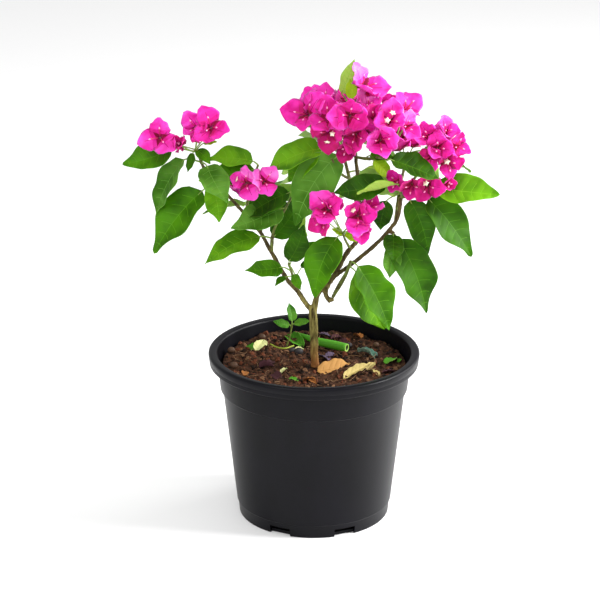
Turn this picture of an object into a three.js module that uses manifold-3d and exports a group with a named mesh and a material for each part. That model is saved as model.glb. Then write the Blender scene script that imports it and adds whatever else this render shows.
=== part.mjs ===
// Potted bougainvillea bush: a nursery pot with its soil, the trunk, three boughs and the leafy,
// flowering shoots that grow from them. Millimetres, +Z up. The origin is the middle of the pot's
// flat underside and the bush's best side faces -Y. Bearings are degrees counter-clockwise from +X
// seen from above, rises are degrees above the horizontal.

import * as THREE from "three";
import { mergeVertices } from "three/addons/utils/BufferGeometryUtils.js";
import Module from "manifold-3d";

const wasm = await Module();
wasm.setup();

// Pot
const potHeight = 163;
const rimRadius = 100; // outside of the rolled rim
const rimWidth = 8.5; // across the roll
const rimDepth = 12; // height of the roll
const collarRadius = 91.6; // just under the rim
const collarFootRadius = 88.8; // at the step where the collar ends
const collarFootHeight = 127;
const wallTopRadius = 86.4; // just under the step
const wallFootRadius = 73.8; // just above the foot band
const footBandHeight = 13;
const footRadius = 71.6;
const potWall = 2.4;
const potFloor = 3;
const potFacets = 40;
const notchBearings = [-117, -66, 63, 114]; // drain notches in the foot
const notchWidth = 21;
const notchHeight = 8;
const notchDepth = 5;

// Soil
const soilTop = 146; // at the trunk
const soilRise = 3.5; // the soil lies this much higher at the wall than at the trunk
const gap = 0.35; // between solids that meet
const fineness = 0.25; // detail smaller than this is merged away where blades cross

// Trunk and boughs: points up the middle, and the radius at the foot and at the tip
const trunk = {
  path: [
    [1, 0, soilTop + gap], [1, 0, 150], [0, 0, 161], [0.1, 0, 174], [-0.4, 0, 188], [-1.4, 0, 204],
  ],
  radii: [3.6, 3.9],
  flare: 0.8, // the root flare widens the foot by this much
  sides: 10,
  steps: 3,
};
const boughs = {
  bough_left: {
    path: [
      [-2.5, 0, 203], [-9, 1, 211], [-15, 1.5, 221], [-25, 3, 232], [-39.5, 5, 258], [-51.6, 7, 280],
      [-67, 9, 298], [-82, 10, 315],
    ],
    radii: [2.5, 1.6],
  },
  bough_centre: {
    path: [
      [-0.6, 0, 202], [1.4, 0, 212], [4, 0.5, 221], [11, 2, 227], [18.5, 3, 236], [30, 6, 257],
      [40.6, 10, 270], [43.7, 12, 286], [42.5, 12, 308], [38.5, 8, 350],
    ],
    radii: [3.2, 1.8],
  },
  bough_right: {
    path: [[15, 2, 233], [38, -3, 252.5], [57, -9, 271.5], [69, -12, 286], [77, -15, 300], [80, -13, 318]],
    radii: [2.2, 1.8],
  },
  pruned_spur: {
    path: [[11.5, -1, 225], [11, -2, 219.5], [13, -2.5, 215.5], [17.5, -2.5, 214]],
    radii: [2.1, 2.2],
  },
};

// Foliage
const leafShape = { width: 0.54, fold: 0.24 }; // width as a share of the length
const leafThickness = { least: 0.4, share: 0.015 }; // with this share of the length added
const bractShape = { width: 0.92, thickness: 1, fold: 0.16 };
const bractLength = 26;
const bractsPerFlower = 3;
const petioleLift = 25; // a leaf stalk rises this many degrees above its leaf
const stalkRadius = 0.8;
const eyeRadius = 2; // the knot that a flower's bracts spring from
const openness = { usual: 50, spread: 20 }; // degrees between a bract and its flower's axis
const leafRoll = 40; // leaves roll about themselves within this many degrees
const facing = { out: 0.66, up: 0.75 }; // the light that leaves and flowers turn to
const leafFan = 230; // a shoot's own leaves spread over this many degrees about the way it faces
const flareFade = 12; // how fast a root flare dies away up its limb

// Shoots, each with its twigs. path: points up the middle. faces: bearing that the leaves turn to.
// leaves: [place along the twig, stalk length, bearing, rise, length, lift of the stalk, roll].
// flowers: [place along the twig, bearing, rise and reach of the knot from the twig, bract length,
// turn of the first bract, opening, bearing and rise that it looks to]. What a row leaves out at its
// end is drawn by the seed or has its usual value.
// moreLeaves are fanned about the way that the shoot faces and moreFlowers are set all round the twig,
// both by the shoot's own seed.
const shoots = {
  shoot_left_tip: {
    faces: 265, seed: 3,
    twigs: [{
      path: [[-81, 10, 313.5], [-100, 5, 338], [-106, 2, 352], [-110, 0, 361]], radii: [1.7, 0.9],
      leaves: [
        [0.9, 22, 185, -17, 49], [0.55, 16, 192, -51, 60, 64, 30], [0.15, 16, 210, -39, 74],
        [0.55, 13, 295, -25, 46], [0.4, 20, 295, -55, 37], [1, 4, 235, -60, 19], [1, 2, 320, -25, 20],
        [0.95, 12, 335, 20, 13],
      ],
      flowers: [
        [1, 191, 22, 35, 24, -10, 62, 262, 22], [0.9, 214, 28, 18, 18, 20, 18, 250, 30],
        [1, 280, 40, 17, 13, 0, 10, 270, 60], [1, 55, 75, 19, 21, 35, 55, 240, 30],
        [1, 338, 54, 28, 23, 10, 52, 275, 30],
      ],
    }],
  },
  shoot_left_upper: {
    faces: 265, seed: 5,
    twigs: [{
      path: [[-64, 8.5, 294], [-60, 4, 320], [-52, 0, 346]], radii: [1.5, 0.8],
      leaves: [[1, 6, 190, 15, 43], [0.9, 2, 205, 0, 48]],
      flowers: [[0.9, 243, -21, 20, 21, 90, 55, 252, 25], [0.9, 291, -15, 21, 21, 75, 50, 282, 28]],
    }],
  },
  shoot_left_spur: {
    faces: 270, seed: 7,
    twigs: [{
      path: [[-17, 2, 224], [-20, -3, 238], [-24, -6, 252]], radii: [1.7, 0.9],
      leaves: [
        [0.7, 11, 210, 5, 39], [0.9, 7, 15, 40, 29], [0.5, 8, 215, -20, 14], [0.95, 16, 290, -40, 17],
        [0.3, 14, 35, 30, 15], [0.95, 3, 0, 65, 38],
      ],
    }],
  },
  shoot_centre_left: {
    faces: 265, seed: 13,
    twigs: [{
      path: [[41, 11, 325], [25, -3, 338], [19, -14, 351], [10, -8, 364]], radii: [1.5, 0.8],
      leaves: [[1, 3, 188, -12, 58], [0.6, 12, 195, -52, 78, 150, -22], [1, 7, 182, -40, 44]],
    }],
  },
  shoot_left_middle: {
    faces: 265, seed: 11,
    twigs: [{
      path: [[-40, 5, 259], [-38, 4, 280], [-28, 2, 301], [-17, -2, 323]], radii: [1.6, 0.8],
      leaves: [
        [0.7, 3, 208, -12, 54], [0.95, 4, 192, -20, 50], [0.15, 5, 20, 50, 50], [0.22, 12, 200, -10, 60],
      ],
    }],
  },
  shoot_low_right: {
    faces: 290, seed: 41,
    twigs: [{
      path: [[17.5, -2, 216.8], [20.5, -3, 223], [25, -5, 232], [30, -8, 243], [34, -9, 255]],
      radii: [1.6, 1.3],
      leaves: [[1, 8, 330, -50, 68], [0.9, 8, 355, -66, 67]],
    }],
  },
  shoot_low_front: {
    faces: 270, seed: 43,
    twigs: [{
      path: [[33, 7, 263], [29, -4, 274], [26, -12, 284]], radii: [1.4, 0.8],
      leaves: [[0.85, 8, 225, -45, 61, 45], [0.95, 2, 335, -20, 14], [0.9, 2, 225, 30, 13]],
      flowers: [
        [1, 236, 50, 38, 24, 50, 52, 262, 25], [1, 231, 37, 32, 20, 120, 50, 240, 0],
        [1, 232, 58, 33, 19, 0, 30, 280, 55], [1, 308, 45, 32, 23, 45, 52, 275, 20],
        [1, 310, 27, 29, 17, 180, 50, 275, -5], [1, 336, 47, 36, 20, -40, 45, 300, 40],
      ],
    }],
  },
  shoot_right_node: {
    faces: 280, seed: 37,
    twigs: [{
      path: [[68, -11, 285], [73, -15, 284], [76, -18, 280]], radii: [1.4, 1.1],
      leaves: [[0.65, 5, 322, -54, 75], [0.5, 3, 270, -20, 34], [0.7, 12, 260, -60, 30]],
    }],
  },
  shoot_right: {
    faces: 280, seed: 29,
    twigs: [
      {
        path: [[80, -13, 318.5], [92, -10, 336], [108, -6, 354]], radii: [1.6, 0.9],
        leaves: [[0.15, 21, 195, -5, 50, 35], [0.15, 19, 172, -76, 34, 48, 0], [0.8, 12, 10, 0, 25]],
        flowers: [
          [1, 248, 69, 24, 20, 20, 45, 250, 35], [1, 0, 64, 26, 19, 0, 42, 290, 45],
          [0.9, 295, 46, 27, 20, 30, 50, 272, 20], [0.9, 343, 35, 30, 19, -30, 52, 315, 25],
          [0.7, 302, 48, 24, 18, 70, 50, 250, -5], [0.7, 338, 28, 28, 17, 180, 48, 290, -10],
        ],
      },
      {
        path: [[81, -13, 319], [96, -16, 322], [114, -14, 324]], radii: [1.5, 0.9],
        leaves: [[0.55, 8, 335, -42, 68], [0.15, 5, 305, -50, 53, 25, 20], [0.8, 6, 345, 3, 62, 60]],
        flowers: [
          [0.2, 189, 57, 18, 16, 40, 45, 240, 10], [0.4, 233, 67, 14, 18, 180, 50, 262, -15],
          [0.6, 300, 52, 15, 19, 150, 52, 272, 5], [0.9, 332, 41, 16, 12, 20, 40, 300, 15],
        ],
      },
      {
        path: [[80, -13, 318.6], [80, -20, 327], [77, -28, 336]], radii: [0.9, 0.7],
        leaves: [[1, 3, 186, -8, 37, 20, 80]],
      },
    ],
  },
  shoot_crown: {
    faces: 270, seed: 19,
    twigs: [
      {
        path: [[38.5, 8, 350.5], [35, 4, 378], [36, 2, 408]], radii: [1.8, 0.9],
        leaves: [[0.8, 22, 20, 66, 34, 55, 165], [0.95, 5, 165, 50, 15], [0.95, 14, 75, 74, 21, 76]],
        flowers: [
          [0.35, 264, 43, 48, 25, -10, 50, 270, 25], [0.4, 317, 55, 32, 26, 0, 32, 285, 60],
          [0.15, 271, 40, 37, 20, 30, 45, 262, 0], [0.1, 254, 28, 30, 17, 180, 45, 250, -15],
          [0.5, 97, 52, 26], [0.9, 330, 64, 20, 30, 0, 44, 312, 42],
          [0.5, 303, 30, 39, 21, 40, 42, 285, 30],
        ],
      },
      {
        path: [[38, 8, 352], [22, 2, 366], [6, -4, 384]], radii: [1.6, 0.9],
        flowers: [
          [1, 235, 39, 25, 26, 90, 58, 235, 25], [1, 192, 63, 21, 22, 40, 50, 225, 50],
          [0.8, 269, 40, 34, 26, 5, 50, 265, 30], [0.6, 207, 74, 38, 24, 0, 34, 270, 60],
          [0.7, 263, 30, 25, 22, 180, 50, 258, -8], [0.5, 133, 53, 37],
        ],
      },
      {
        path: [[38.5, 8, 351], [52, 0, 352], [66, -8, 358], [74, -10, 372]], radii: [1.5, 0.9],
        leaves: [[0.3, 4, 345, -39, 24], [0.2, 6, 335, 10, 24]],
        flowers: [
          [0.9, 256, 55, 36, 25, 0, 50, 285, 28], [1, 294, 45, 25, 19, -20, 46, 300, 25],
          [1, 48, 66, 27, 22, 30, 45, 325, 50], [0.9, 91, 51, 37],
        ],
      },
      {
        path: [[57, -3, 354], [61, -20, 359], [66, -39, 363]], radii: [1.2, 0.8],
        leaves: [[1, 3, 355, -16, 49]],
        flowers: [[0.7, 249, 64, 23, 26, 60, 50, 275, 5]],
      },
    ],
  },
  shoot_basal: {
    faces: 275, seed: 61,
    twigs: [{
      path: [[-26, 49, soilTop + 2.6], [-23, 49, 158], [-21, 49, 170]], radii: [0.9, 0.7],
      leaves: [[1, 3, 100, 65, 19], [0.9, 3, 200, 20, 17], [0.95, 3, 340, 20, 17]],
    }],
  },
  shoot_back_left: {
    faces: 100, seed: 67,
    twigs: [{
      path: [[-50, 8, 278], [-50, 32, 292], [-58, 50, 300]], radii: [1.6, 0.9],
      moreLeaves: 10, moreFlowers: 2,
    }],
  },
  shoot_back_centre: {
    faces: 90, seed: 324,
    twigs: [{
      path: [[43.5, 12, 290], [32, 40, 325], [22, 56, 365]], radii: [1.7, 0.9],
      moreLeaves: 10, moreFlowers: 5,
    }],
  },
  shoot_back_right: {
    faces: 80, seed: 314,
    twigs: [{
      path: [[75, -14, 296], [80, 18, 318], [88, 44, 345]], radii: [1.6, 0.9],
      moreLeaves: 9, moreFlowers: 4,
    }],
  },
};

const colours = {
  pot: "#2b2b2f", soil: "#4a2a1c", trunk: "#7d7440", bough: "#55482b", foliage: "#4f8f1f",
};

// Random numbers from 0 to 1 that are the same on every run.
function seeded(seed) {
  let state = (seed * 2654435) % 4294967296;
  return () => {
    state = (state * 1664525 + 1013904223) % 4294967296;
    return state / 4294967296;
  };
}

const vector = (point) => new THREE.Vector3(...point);

function heading(bearing, rise) {
  const turn = THREE.MathUtils.degToRad(bearing);
  const tilt = THREE.MathUtils.degToRad(rise);
  return new THREE.Vector3(Math.cos(turn) * Math.cos(tilt), Math.sin(turn) * Math.cos(tilt), Math.sin(tilt));
}

// A closed solid from a three.js geometry or from points and faces.
function solid(geometry, tolerance = 1e-4) {
  const bare = geometry.clone();
  bare.deleteAttribute("normal");
  bare.deleteAttribute("uv");
  const merged = mergeVertices(bare, tolerance);
  const corners = merged.index.array;
  const faces = [];
  for (let i = 0; i < corners.length; i += 3) {
    const [a, b, c] = corners.slice(i, i + 3);
    if (a !== b && b !== c && c !== a) faces.push(a, b, c);
  }
  const mesh = new wasm.Mesh({
    numProp: 3,
    vertProperties: new Float32Array(merged.attributes.position.array),
    triVerts: new Uint32Array(faces),
  });
  return new wasm.Manifold(mesh);
}

function solidFromFaces(points, faces) {
  const geometry = new THREE.BufferGeometry();
  geometry.setAttribute("position", new THREE.Float32BufferAttribute(points.flatMap((p) => p.toArray()), 3));
  geometry.setIndex(faces.flat());
  return solid(geometry);
}

// The largest shell of a solid: drops loose scraps, and fills a hollow that joining has sealed.
function largestShell(body) {
  const { vertProperties, triVerts } = body.getMesh();
  const owner = Array.from({ length: vertProperties.length / 3 }, (_, i) => i);
  const root = (i) => {
    while (owner[i] !== i) i = owner[i] = owner[owner[i]];
    return i;
  };
  for (let i = 0; i < triVerts.length; i += 3) {
    owner[root(triVerts[i + 1])] = root(triVerts[i]);
    owner[root(triVerts[i + 2])] = root(triVerts[i]);
  }
  const shells = new Map();
  for (let i = 0; i < triVerts.length; i += 3) {
    const key = root(triVerts[i]);
    if (!shells.has(key)) shells.set(key, []);
    shells.get(key).push(...triVerts.slice(i, i + 3));
  }
  const bodies = [...shells.values()].map((faces) => {
    const points = Float32Array.from(faces.flatMap((i) => [...vertProperties.slice(3 * i, 3 * i + 3)]));
    const geometry = new THREE.BufferGeometry();
    geometry.setAttribute("position", new THREE.BufferAttribute(points, 3));
    return solid(geometry, 0);
  });
  return bodies.reduce((best, piece) => (piece.volume() > best.volume() ? piece : best));
}

function addMesh(name, body, colour, roughness) {
  const { vertProperties, triVerts } = body.getMesh();
  const geometry = new THREE.BufferGeometry();
  geometry.setAttribute("position", new THREE.BufferAttribute(vertProperties, 3));
  geometry.setIndex(new THREE.BufferAttribute(triVerts, 1));
  geometry.computeVertexNormals();
  const finish = new THREE.MeshStandardMaterial({ color: colour, roughness, metalness: 0 });
  const mesh = new THREE.Mesh(geometry, finish);
  mesh.name = name;
  plant.add(mesh);
}

// A tapering limb along a smooth path; widen makes the same limb with a margin round it.
function limb({ path, radii, sides = 6, flare = 0, steps = 2, widen = 0 }) {
  const curve = new THREE.CatmullRomCurve3(path.map(vector), false, "catmullrom", 0.5);
  const rings = (path.length - 1) * steps;
  const points = [];
  const faces = [];
  let side = new THREE.Vector3(0, 1, 0);
  for (let i = 0; i <= rings; i++) {
    const along = i / rings;
    const tangent = curve.getTangent(along);
    side = side.addScaledVector(tangent, -side.dot(tangent)).normalize();
    const other = new THREE.Vector3().crossVectors(tangent, side);
    const radius = THREE.MathUtils.lerp(...radii, along) + flare * Math.exp(-along * flareFade) + widen;
    const centre = curve.getPoint(along);
    if (i === 0) centre.addScaledVector(tangent, -widen);
    if (i === rings) centre.addScaledVector(tangent, widen);
    for (let k = 0; k < sides; k++) {
      const angle = (k / sides) * 2 * Math.PI;
      const spoke = side.clone().multiplyScalar(Math.cos(angle)).addScaledVector(other, Math.sin(angle));
      points.push(centre.clone().addScaledVector(spoke, radius));
    }
  }
  for (let i = 0; i < rings; i++) {
    for (let k = 0; k < sides; k++) {
      const next = (k + 1) % sides;
      const [a, b] = [i * sides + k, i * sides + next];
      faces.push([a, b, b + sides], [a, b + sides, a + sides]);
    }
  }
  const last = rings * sides;
  for (let k = 1; k < sides - 1; k++) {
    faces.push([0, k + 1, k], [last, last + k, last + k + 1]);
  }
  return solidFromFaces(points, faces);
}

// A leaf or bract: a thin blade, thickest along its midrib, folded up along it and curling down to its tip.
function blade({ root, along, face, length, width, thickness, fold, curl, stations }) {
  const side = new THREE.Vector3().crossVectors(along, face);
  const bend = THREE.MathUtils.degToRad(curl);
  const place = (share) => root.clone()
    .addScaledVector(along, (length * Math.sin(bend * share)) / bend)
    .addScaledVector(face, (-length * (1 - Math.cos(bend * share))) / bend);
  const points = [place(0), place(1)];
  for (const [share, spread] of stations) {
    const middle = place(share);
    const reach = (length * width * spread) / 2;
    const normal = face.clone().multiplyScalar(Math.cos(bend * share))
      .addScaledVector(along, Math.sin(bend * share));
    for (const hand of [-1, 1]) {
      points.push(middle.clone().addScaledVector(side, hand * reach).addScaledVector(normal, reach * fold));
    }
    points.push(middle.clone().addScaledVector(normal, thickness / 2));
    points.push(middle.clone().addScaledVector(normal, -thickness / 2));
  }
  const faces = [];
  const at = (station, corner) => {
    if (station < 0) return 0;
    return station === stations.length ? 1 : 2 + station * 4 + corner;
  };
  const addQuad = (a, b, c, d) => {
    if (a !== b) faces.push([a, b, c]);
    if (c !== d) faces.push([a, c, d]);
  };
  const round = [0, 3, 1, 2]; // left edge, underside, right edge, upper side
  for (let station = -1; station < stations.length; station++) {
    for (let k = 0; k < 4; k++) {
      const [from, to] = [round[k], round[(k + 1) % 4]];
      const corners = [at(station, from), at(station + 1, from), at(station + 1, to), at(station, to)];
      if (station === -1) faces.push([corners[0], corners[1], corners[2]]);
      else if (station === stations.length - 1) faces.push([corners[0], corners[1], corners[3]]);
      else addQuad(...corners);
    }
  }
  return solidFromFaces(points, faces);
}

const leafStations = [[0.18, 0.78], [0.42, 1], [0.74, 0.6]];
const bractStations = [[0.3, 0.7], [0.62, 0.94]];

// The direction square to a blade that is nearest the light, rolled about the blade.
function faceToLight(along, light, roll) {
  const face = light.clone().addScaledVector(along, -light.dot(along)).normalize();
  return face.applyAxisAngle(along, THREE.MathUtils.degToRad(roll));
}

function leafSolids(stemCurve, light, random, row) {
  const [place, stalk, bearing, rise, length, lift = petioleLift, roll] = row;
  const start = stemCurve.getPoint(place);
  const along = heading(bearing, rise);
  const root = start.clone().addScaledVector(heading(bearing, rise + lift), stalk);
  const chance = (random() - 0.5) * leafRoll;
  const face = faceToLight(along, light, roll ?? chance);
  const leaf = blade({
    root, along, face, length, fold: leafShape.fold, curl: 8 + 26 * random(), stations: leafStations,
    width: leafShape.width * (0.92 + 0.16 * random()),
    thickness: leafThickness.least + leafThickness.share * length,
  });
  const sunk = root.clone().addScaledVector(along, length * 0.15);
  const petiole = limb({
    path: [start.toArray(), root.toArray(), sunk.toArray()], radii: [stalkRadius, 0.55], sides: 3, steps: 1,
  });
  return { solids: [petiole, leaf], face };
}

function flowerSolids(stemCurve, light, random, row) {
  const [place, bearing, rise, reach, size = bractLength, turn, opening = openness.usual, ...look] = row;
  const start = stemCurve.getPoint(place);
  const out = heading(bearing, rise);
  const eye = start.clone().addScaledVector(out, reach);
  const axis = look.length ? heading(...look) : out.clone().add(light).normalize();
  const stalk = limb({
    path: [start.toArray(), eye.toArray()], radii: [stalkRadius, stalkRadius], sides: 3, steps: 1,
  });
  const knot = solid(new THREE.OctahedronGeometry(eyeRadius).translate(eye.x, eye.y, eye.z));
  const chance = 360 * random();
  const first = faceToLight(axis, new THREE.Vector3(0, 0, 1), turn ?? chance);
  const solids = [stalk, knot];
  for (let i = 0; i < bractsPerFlower; i++) {
    const swing = (i * 360) / bractsPerFlower + 30 * (random() - 0.5);
    const spoke = first.clone().applyAxisAngle(axis, THREE.MathUtils.degToRad(swing));
    const open = THREE.MathUtils.degToRad(opening + openness.spread * (random() - 0.5));
    const along = axis.clone().multiplyScalar(Math.cos(open)).addScaledVector(spoke, Math.sin(open));
    const face = axis.clone().multiplyScalar(Math.sin(open)).addScaledVector(spoke, -Math.cos(open));
    solids.push(blade({
      root: eye, along, face, length: size * (0.88 + 0.24 * random()), ...bractShape,
      curl: -30 + 50 * random() || 1, stations: bractStations,
    }));
  }
  return { solids, face: axis };
}

// Leaves and flowers set round a twig by its seed, in the same form as those that are listed.
function scatteredLeaves(count, faces, random) {
  return Array.from({ length: count }, (_, i) => [
    0.2 + (0.8 * (i + random())) / count, 8 + 8 * random(),
    faces + leafFan * (((0.382 * i) % 1) - 0.5) + 30 * random(), -35 + 60 * random(), 42 + 24 * random(),
  ]);
}

function scatteredFlowers(count, faces, random) {
  return Array.from({ length: count }, (_, i) => [
    0.7 + (0.3 * (i + 1)) / count, faces + 137.5 * i + 40 * random(), -5 + 70 * random(), 10 + 16 * random(),
  ]);
}

// A leaf or flower is left out where it would touch, or come within the gap of, a solid that is there
// already or the wood of another shoot.
function isClear(solids, face, name) {
  const others = [...placed, ...limbs.filter((other) => other.name !== name)];
  for (const body of solids) {
    for (const shift of [0, gap, -gap]) {
      const moved = body.translate(face.clone().multiplyScalar(shift).toArray());
      const box = moved.boundingBox();
      for (const other of others) {
        const far = [0, 1, 2].some((k) => box.min[k] > other.box.max[k] || box.max[k] < other.box.min[k]);
        if (!far && moved.intersect(other.body).volume() > 1e-6) return false;
      }
    }
  }
  return true;
}

// Every finished solid, and each limb with the gap round it, for those that come after to keep clear of.
const placed = [];
const limbs = [];

function keep(name, body, colour, roughness) {
  addMesh(name, body, colour, roughness);
  placed.push({ name, body, box: body.boundingBox() });
}

function reserve(name, shape) {
  const body = limb({ ...shape, widen: gap });
  limbs.push({ name, body, box: body.boundingBox() });
}

const twigShape = ({ path, radii }) => ({ path, radii, sides: 4 });

function growShoot(name, { faces, seed, twigs }) {
  const random = seeded(seed);
  const light = heading(faces, 0).multiplyScalar(facing.out);
  light.add(new THREE.Vector3(0, 0, facing.up)).normalize();
  let body = twigs.map((twig) => limb(twigShape(twig))).reduce((all, twig) => all.add(twig));
  for (const other of limbs) if (other.name !== name) body = body.subtract(other.body);
  for (const { path, leaves = [], flowers = [], moreLeaves = 0, moreFlowers = 0 } of twigs) {
    const curve = new THREE.CatmullRomCurve3(path.map(vector), false, "catmullrom", 0.5);
    const rows = [
      ...leaves.map((row) => [leafSolids, row]),
      ...flowers.map((row) => [flowerSolids, row]),
      ...scatteredLeaves(moreLeaves, faces, random).map((row) => [leafSolids, row]),
      ...scatteredFlowers(moreFlowers, faces, random).map((row) => [flowerSolids, row]),
    ];
    for (const [make, row] of rows) {
      const { solids, face } = make(curve, light, random, row);
      if (!isClear(solids, face, name)) continue;
      for (const piece of solids) body = body.add(piece);
    }
  }
  return largestShell(largestShell(body).simplify(fineness));
}

function potProfile() {
  const lipFoot = potHeight - rimDepth;
  const roll = rimDepth / 4;
  const outside = [
    [0, 0], [footRadius, 0], [footRadius + 1, footBandHeight - 1], [wallFootRadius, footBandHeight + 1],
    [wallTopRadius, collarFootHeight - 2], [collarFootRadius, collarFootHeight], [collarRadius, lipFoot],
    [rimRadius - 2, lipFoot + 0.5], [rimRadius, lipFoot + roll], [rimRadius, potHeight - roll],
    [rimRadius - 3, potHeight],
  ];
  const inside = [
    [rimRadius - rimWidth + 1.5, potHeight - 0.7], [rimRadius - rimWidth, potHeight - roll],
    [collarRadius - potWall, lipFoot - 2], [wallTopRadius - potWall, collarFootHeight - 4],
    [footRadius - potWall, potFloor], [0, potFloor],
  ];
  return [...outside, ...inside].map(([x, y]) => new THREE.Vector2(x, y));
}

// LatheGeometry turns its profile about Y, so it is stood up on Z.
const turned = (profile) => new THREE.LatheGeometry(profile, potFacets).rotateX(Math.PI / 2);

function notchCutter(bearing) {
  const block = new THREE.BoxGeometry(2 * notchDepth, notchWidth, 2 * notchHeight);
  block.translate(footRadius, 0, 0);
  block.rotateZ(THREE.MathUtils.degToRad(bearing));
  return solid(block);
}

function makePot() {
  const shell = solid(turned(potProfile()));
  return notchBearings.reduce((body, bearing) => body.subtract(notchCutter(bearing)), shell);
}

// The soil fills the pot. Its foot is drawn in behind the drain notches.
function makeSoil() {
  const ledge = notchHeight + 2;
  const shy = potWall + 1; // keeps the facets of the soil off those of the pot
  const innerFoot = footRadius - notchDepth - 1;
  const profile = [
    [0, potFloor + gap], [innerFoot, potFloor + gap], [innerFoot, ledge], [footRadius - shy, ledge],
    [wallTopRadius - shy, collarFootHeight - 4], [collarRadius - shy - 1.5, soilTop + soilRise],
    [16, soilTop], [0, soilTop],
  ];
  return solid(turned(profile.map(([x, y]) => new THREE.Vector2(x, y))));
}

const plant = new THREE.Group();
plant.name = "potted_bush";

keep("pot", makePot(), colours.pot, 0.5);
keep("soil", makeSoil(), colours.soil, 1);
keep("trunk", limb(trunk), colours.trunk, 0.8);
reserve("trunk", trunk);

for (const [name, bough] of Object.entries(boughs)) {
  const body = limbs.reduce((rest, other) => rest.subtract(other.body), limb(bough));
  keep(name, largestShell(body), colours.bough, 0.8);
  reserve(name, bough);
}

for (const [name, { twigs }] of Object.entries(shoots)) {
  for (const twig of twigs) reserve(name, twigShape(twig));
}
for (const [name, shoot] of Object.entries(shoots)) {
  keep(name, growShoot(name, shoot), colours.foliage, 0.6);
}

export default plant;
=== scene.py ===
import math

import bpy
import numpy as np
from mathutils import Matrix, Quaternion, Vector, noise
from mathutils.bvhtree import BVHTree


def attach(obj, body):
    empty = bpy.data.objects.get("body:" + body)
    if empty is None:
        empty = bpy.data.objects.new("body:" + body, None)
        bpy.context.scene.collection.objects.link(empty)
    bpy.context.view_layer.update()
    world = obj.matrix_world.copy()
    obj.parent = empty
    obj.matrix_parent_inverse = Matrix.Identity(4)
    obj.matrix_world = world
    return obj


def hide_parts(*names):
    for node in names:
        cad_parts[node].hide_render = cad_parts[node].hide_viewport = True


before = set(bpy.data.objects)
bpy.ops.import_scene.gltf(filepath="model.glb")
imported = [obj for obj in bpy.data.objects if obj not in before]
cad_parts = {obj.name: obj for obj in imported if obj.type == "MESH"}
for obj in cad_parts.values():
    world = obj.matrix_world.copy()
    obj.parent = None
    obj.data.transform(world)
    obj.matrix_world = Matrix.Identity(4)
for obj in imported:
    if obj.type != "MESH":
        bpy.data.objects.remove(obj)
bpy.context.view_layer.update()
print("frame loaded with", len(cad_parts), "nodes")

mm = 0.001  # sizes are written in millimetres, and meshes are made in metres


# Camera, floor and light

view = {
    "aim": (-13.3, 0, 213.1),
    "distance": 2600,
    "elevation": 20.25,
    "lens": 165.9,
    "farthest": 100,  # metres that the camera sees
    "floorSize": 9000,
    "roomLight": 0.7,  # strength of the even light from all round
}
lamps = {
    # where it stands, the side of its square panel, and its power in watts
    "keyFromRight": {"place": (1500, -150, 1000), "side": 700, "power": 52},
    "rimFromRight": {"place": (1300, 700, 700), "side": 700, "power": 10},
    "fillFromFront": {"place": (-700, -1600, 1800), "side": 1800, "power": 36},
}


def deselectAll():
    bpy.ops.object.select_all(action="DESELECT")


def metres(point):
    return tuple(c * mm for c in point)


def placeCamera():
    tilt = math.radians(view["elevation"])
    back = Vector((0, -math.cos(tilt), math.sin(tilt))) * view["distance"]
    bpy.ops.object.camera_add(
        location=metres(Vector(view["aim"]) + back),
        rotation=(math.pi / 2 - tilt, 0, 0),
    )
    camera = bpy.context.object
    camera.data.lens = view["lens"]
    camera.data.clip_end = view["farthest"]
    bpy.context.scene.camera = camera


def linear(hexColour):
    parts = [int(hexColour[i:i + 2], 16) / 255 for i in (1, 3, 5)]
    return [c / 12.92 if c <= 0.04045 else ((c + 0.055) / 1.055) ** 2.4 for c in parts] + [1]


def addNode(material, kind, values=None, links=None, **settings):
    node = material.node_tree.nodes.new(kind)
    for name, value in settings.items():
        setattr(node, name, value)
    for socket, value in (values or {}).items():
        node.inputs[socket].default_value = value
    for socket, source in (links or {}).items():
        material.node_tree.links.new(source, node.inputs[socket])
    return node


mixFactor, mixFrom, mixTo, mixResult = 0, 6, 7, 2  # places of a Mix node's colour sockets


def newMaterial(name, colour, roughness, **sockets):
    material = bpy.data.materials.new(name)
    material.use_nodes = True
    shader = material.node_tree.nodes["Principled BSDF"]
    shader.inputs["Base Color"].default_value = linear(colour)
    shader.inputs["Roughness"].default_value = roughness
    for socket, value in sockets.items():
        shader.inputs[socket.replace("_", " ")].default_value = value
    return material


def grainNoise(material, size, stretch, detail):
    # noise in the piece's own place, with grains that are that many mm across
    place = addNode(material, "ShaderNodeTexCoord").outputs["Object"]
    stretched = addNode(material, "ShaderNodeMapping", {"Scale": stretch}, {"Vector": place}).outputs[0]
    values = {"Scale": 1 / (size * mm), "Detail": detail}
    return addNode(material, "ShaderNodeTexNoise", values, {"Vector": stretched}).outputs["Fac"]


def linkShader(material, socket, source):
    shader = material.node_tree.nodes["Principled BSDF"]
    material.node_tree.links.new(source, shader.inputs[socket])


def mottle(material, colours, patch, stretch=(1, 1, 1), contrast=(0.35, 0.65), detail=3):
    # two close colours mixed by noise whose patches are that many mm across
    grain = grainNoise(material, patch, stretch, detail)
    share = addNode(
        material, "ShaderNodeMapRange", {"From Min": contrast[0], "From Max": contrast[1]}, {"Value": grain},
    )
    mix = addNode(
        material, "ShaderNodeMix", {mixFrom: linear(colours[0]), mixTo: linear(colours[1])},
        {mixFactor: share.outputs[0]}, data_type="RGBA",
    )
    linkShader(material, "Base Color", mix.outputs[mixResult])
    return mix


def roughen(material, size, depth, stretch=(1, 1, 1), detail=2):
    # a fine relief: bumps of that size and depth in mm
    grain = grainNoise(material, size, stretch, detail)
    bump = addNode(material, "ShaderNodeBump", {"Distance": depth * mm, "Strength": 1}, {"Height": grain})
    linkShader(material, "Normal", bump.outputs[0])


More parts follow.
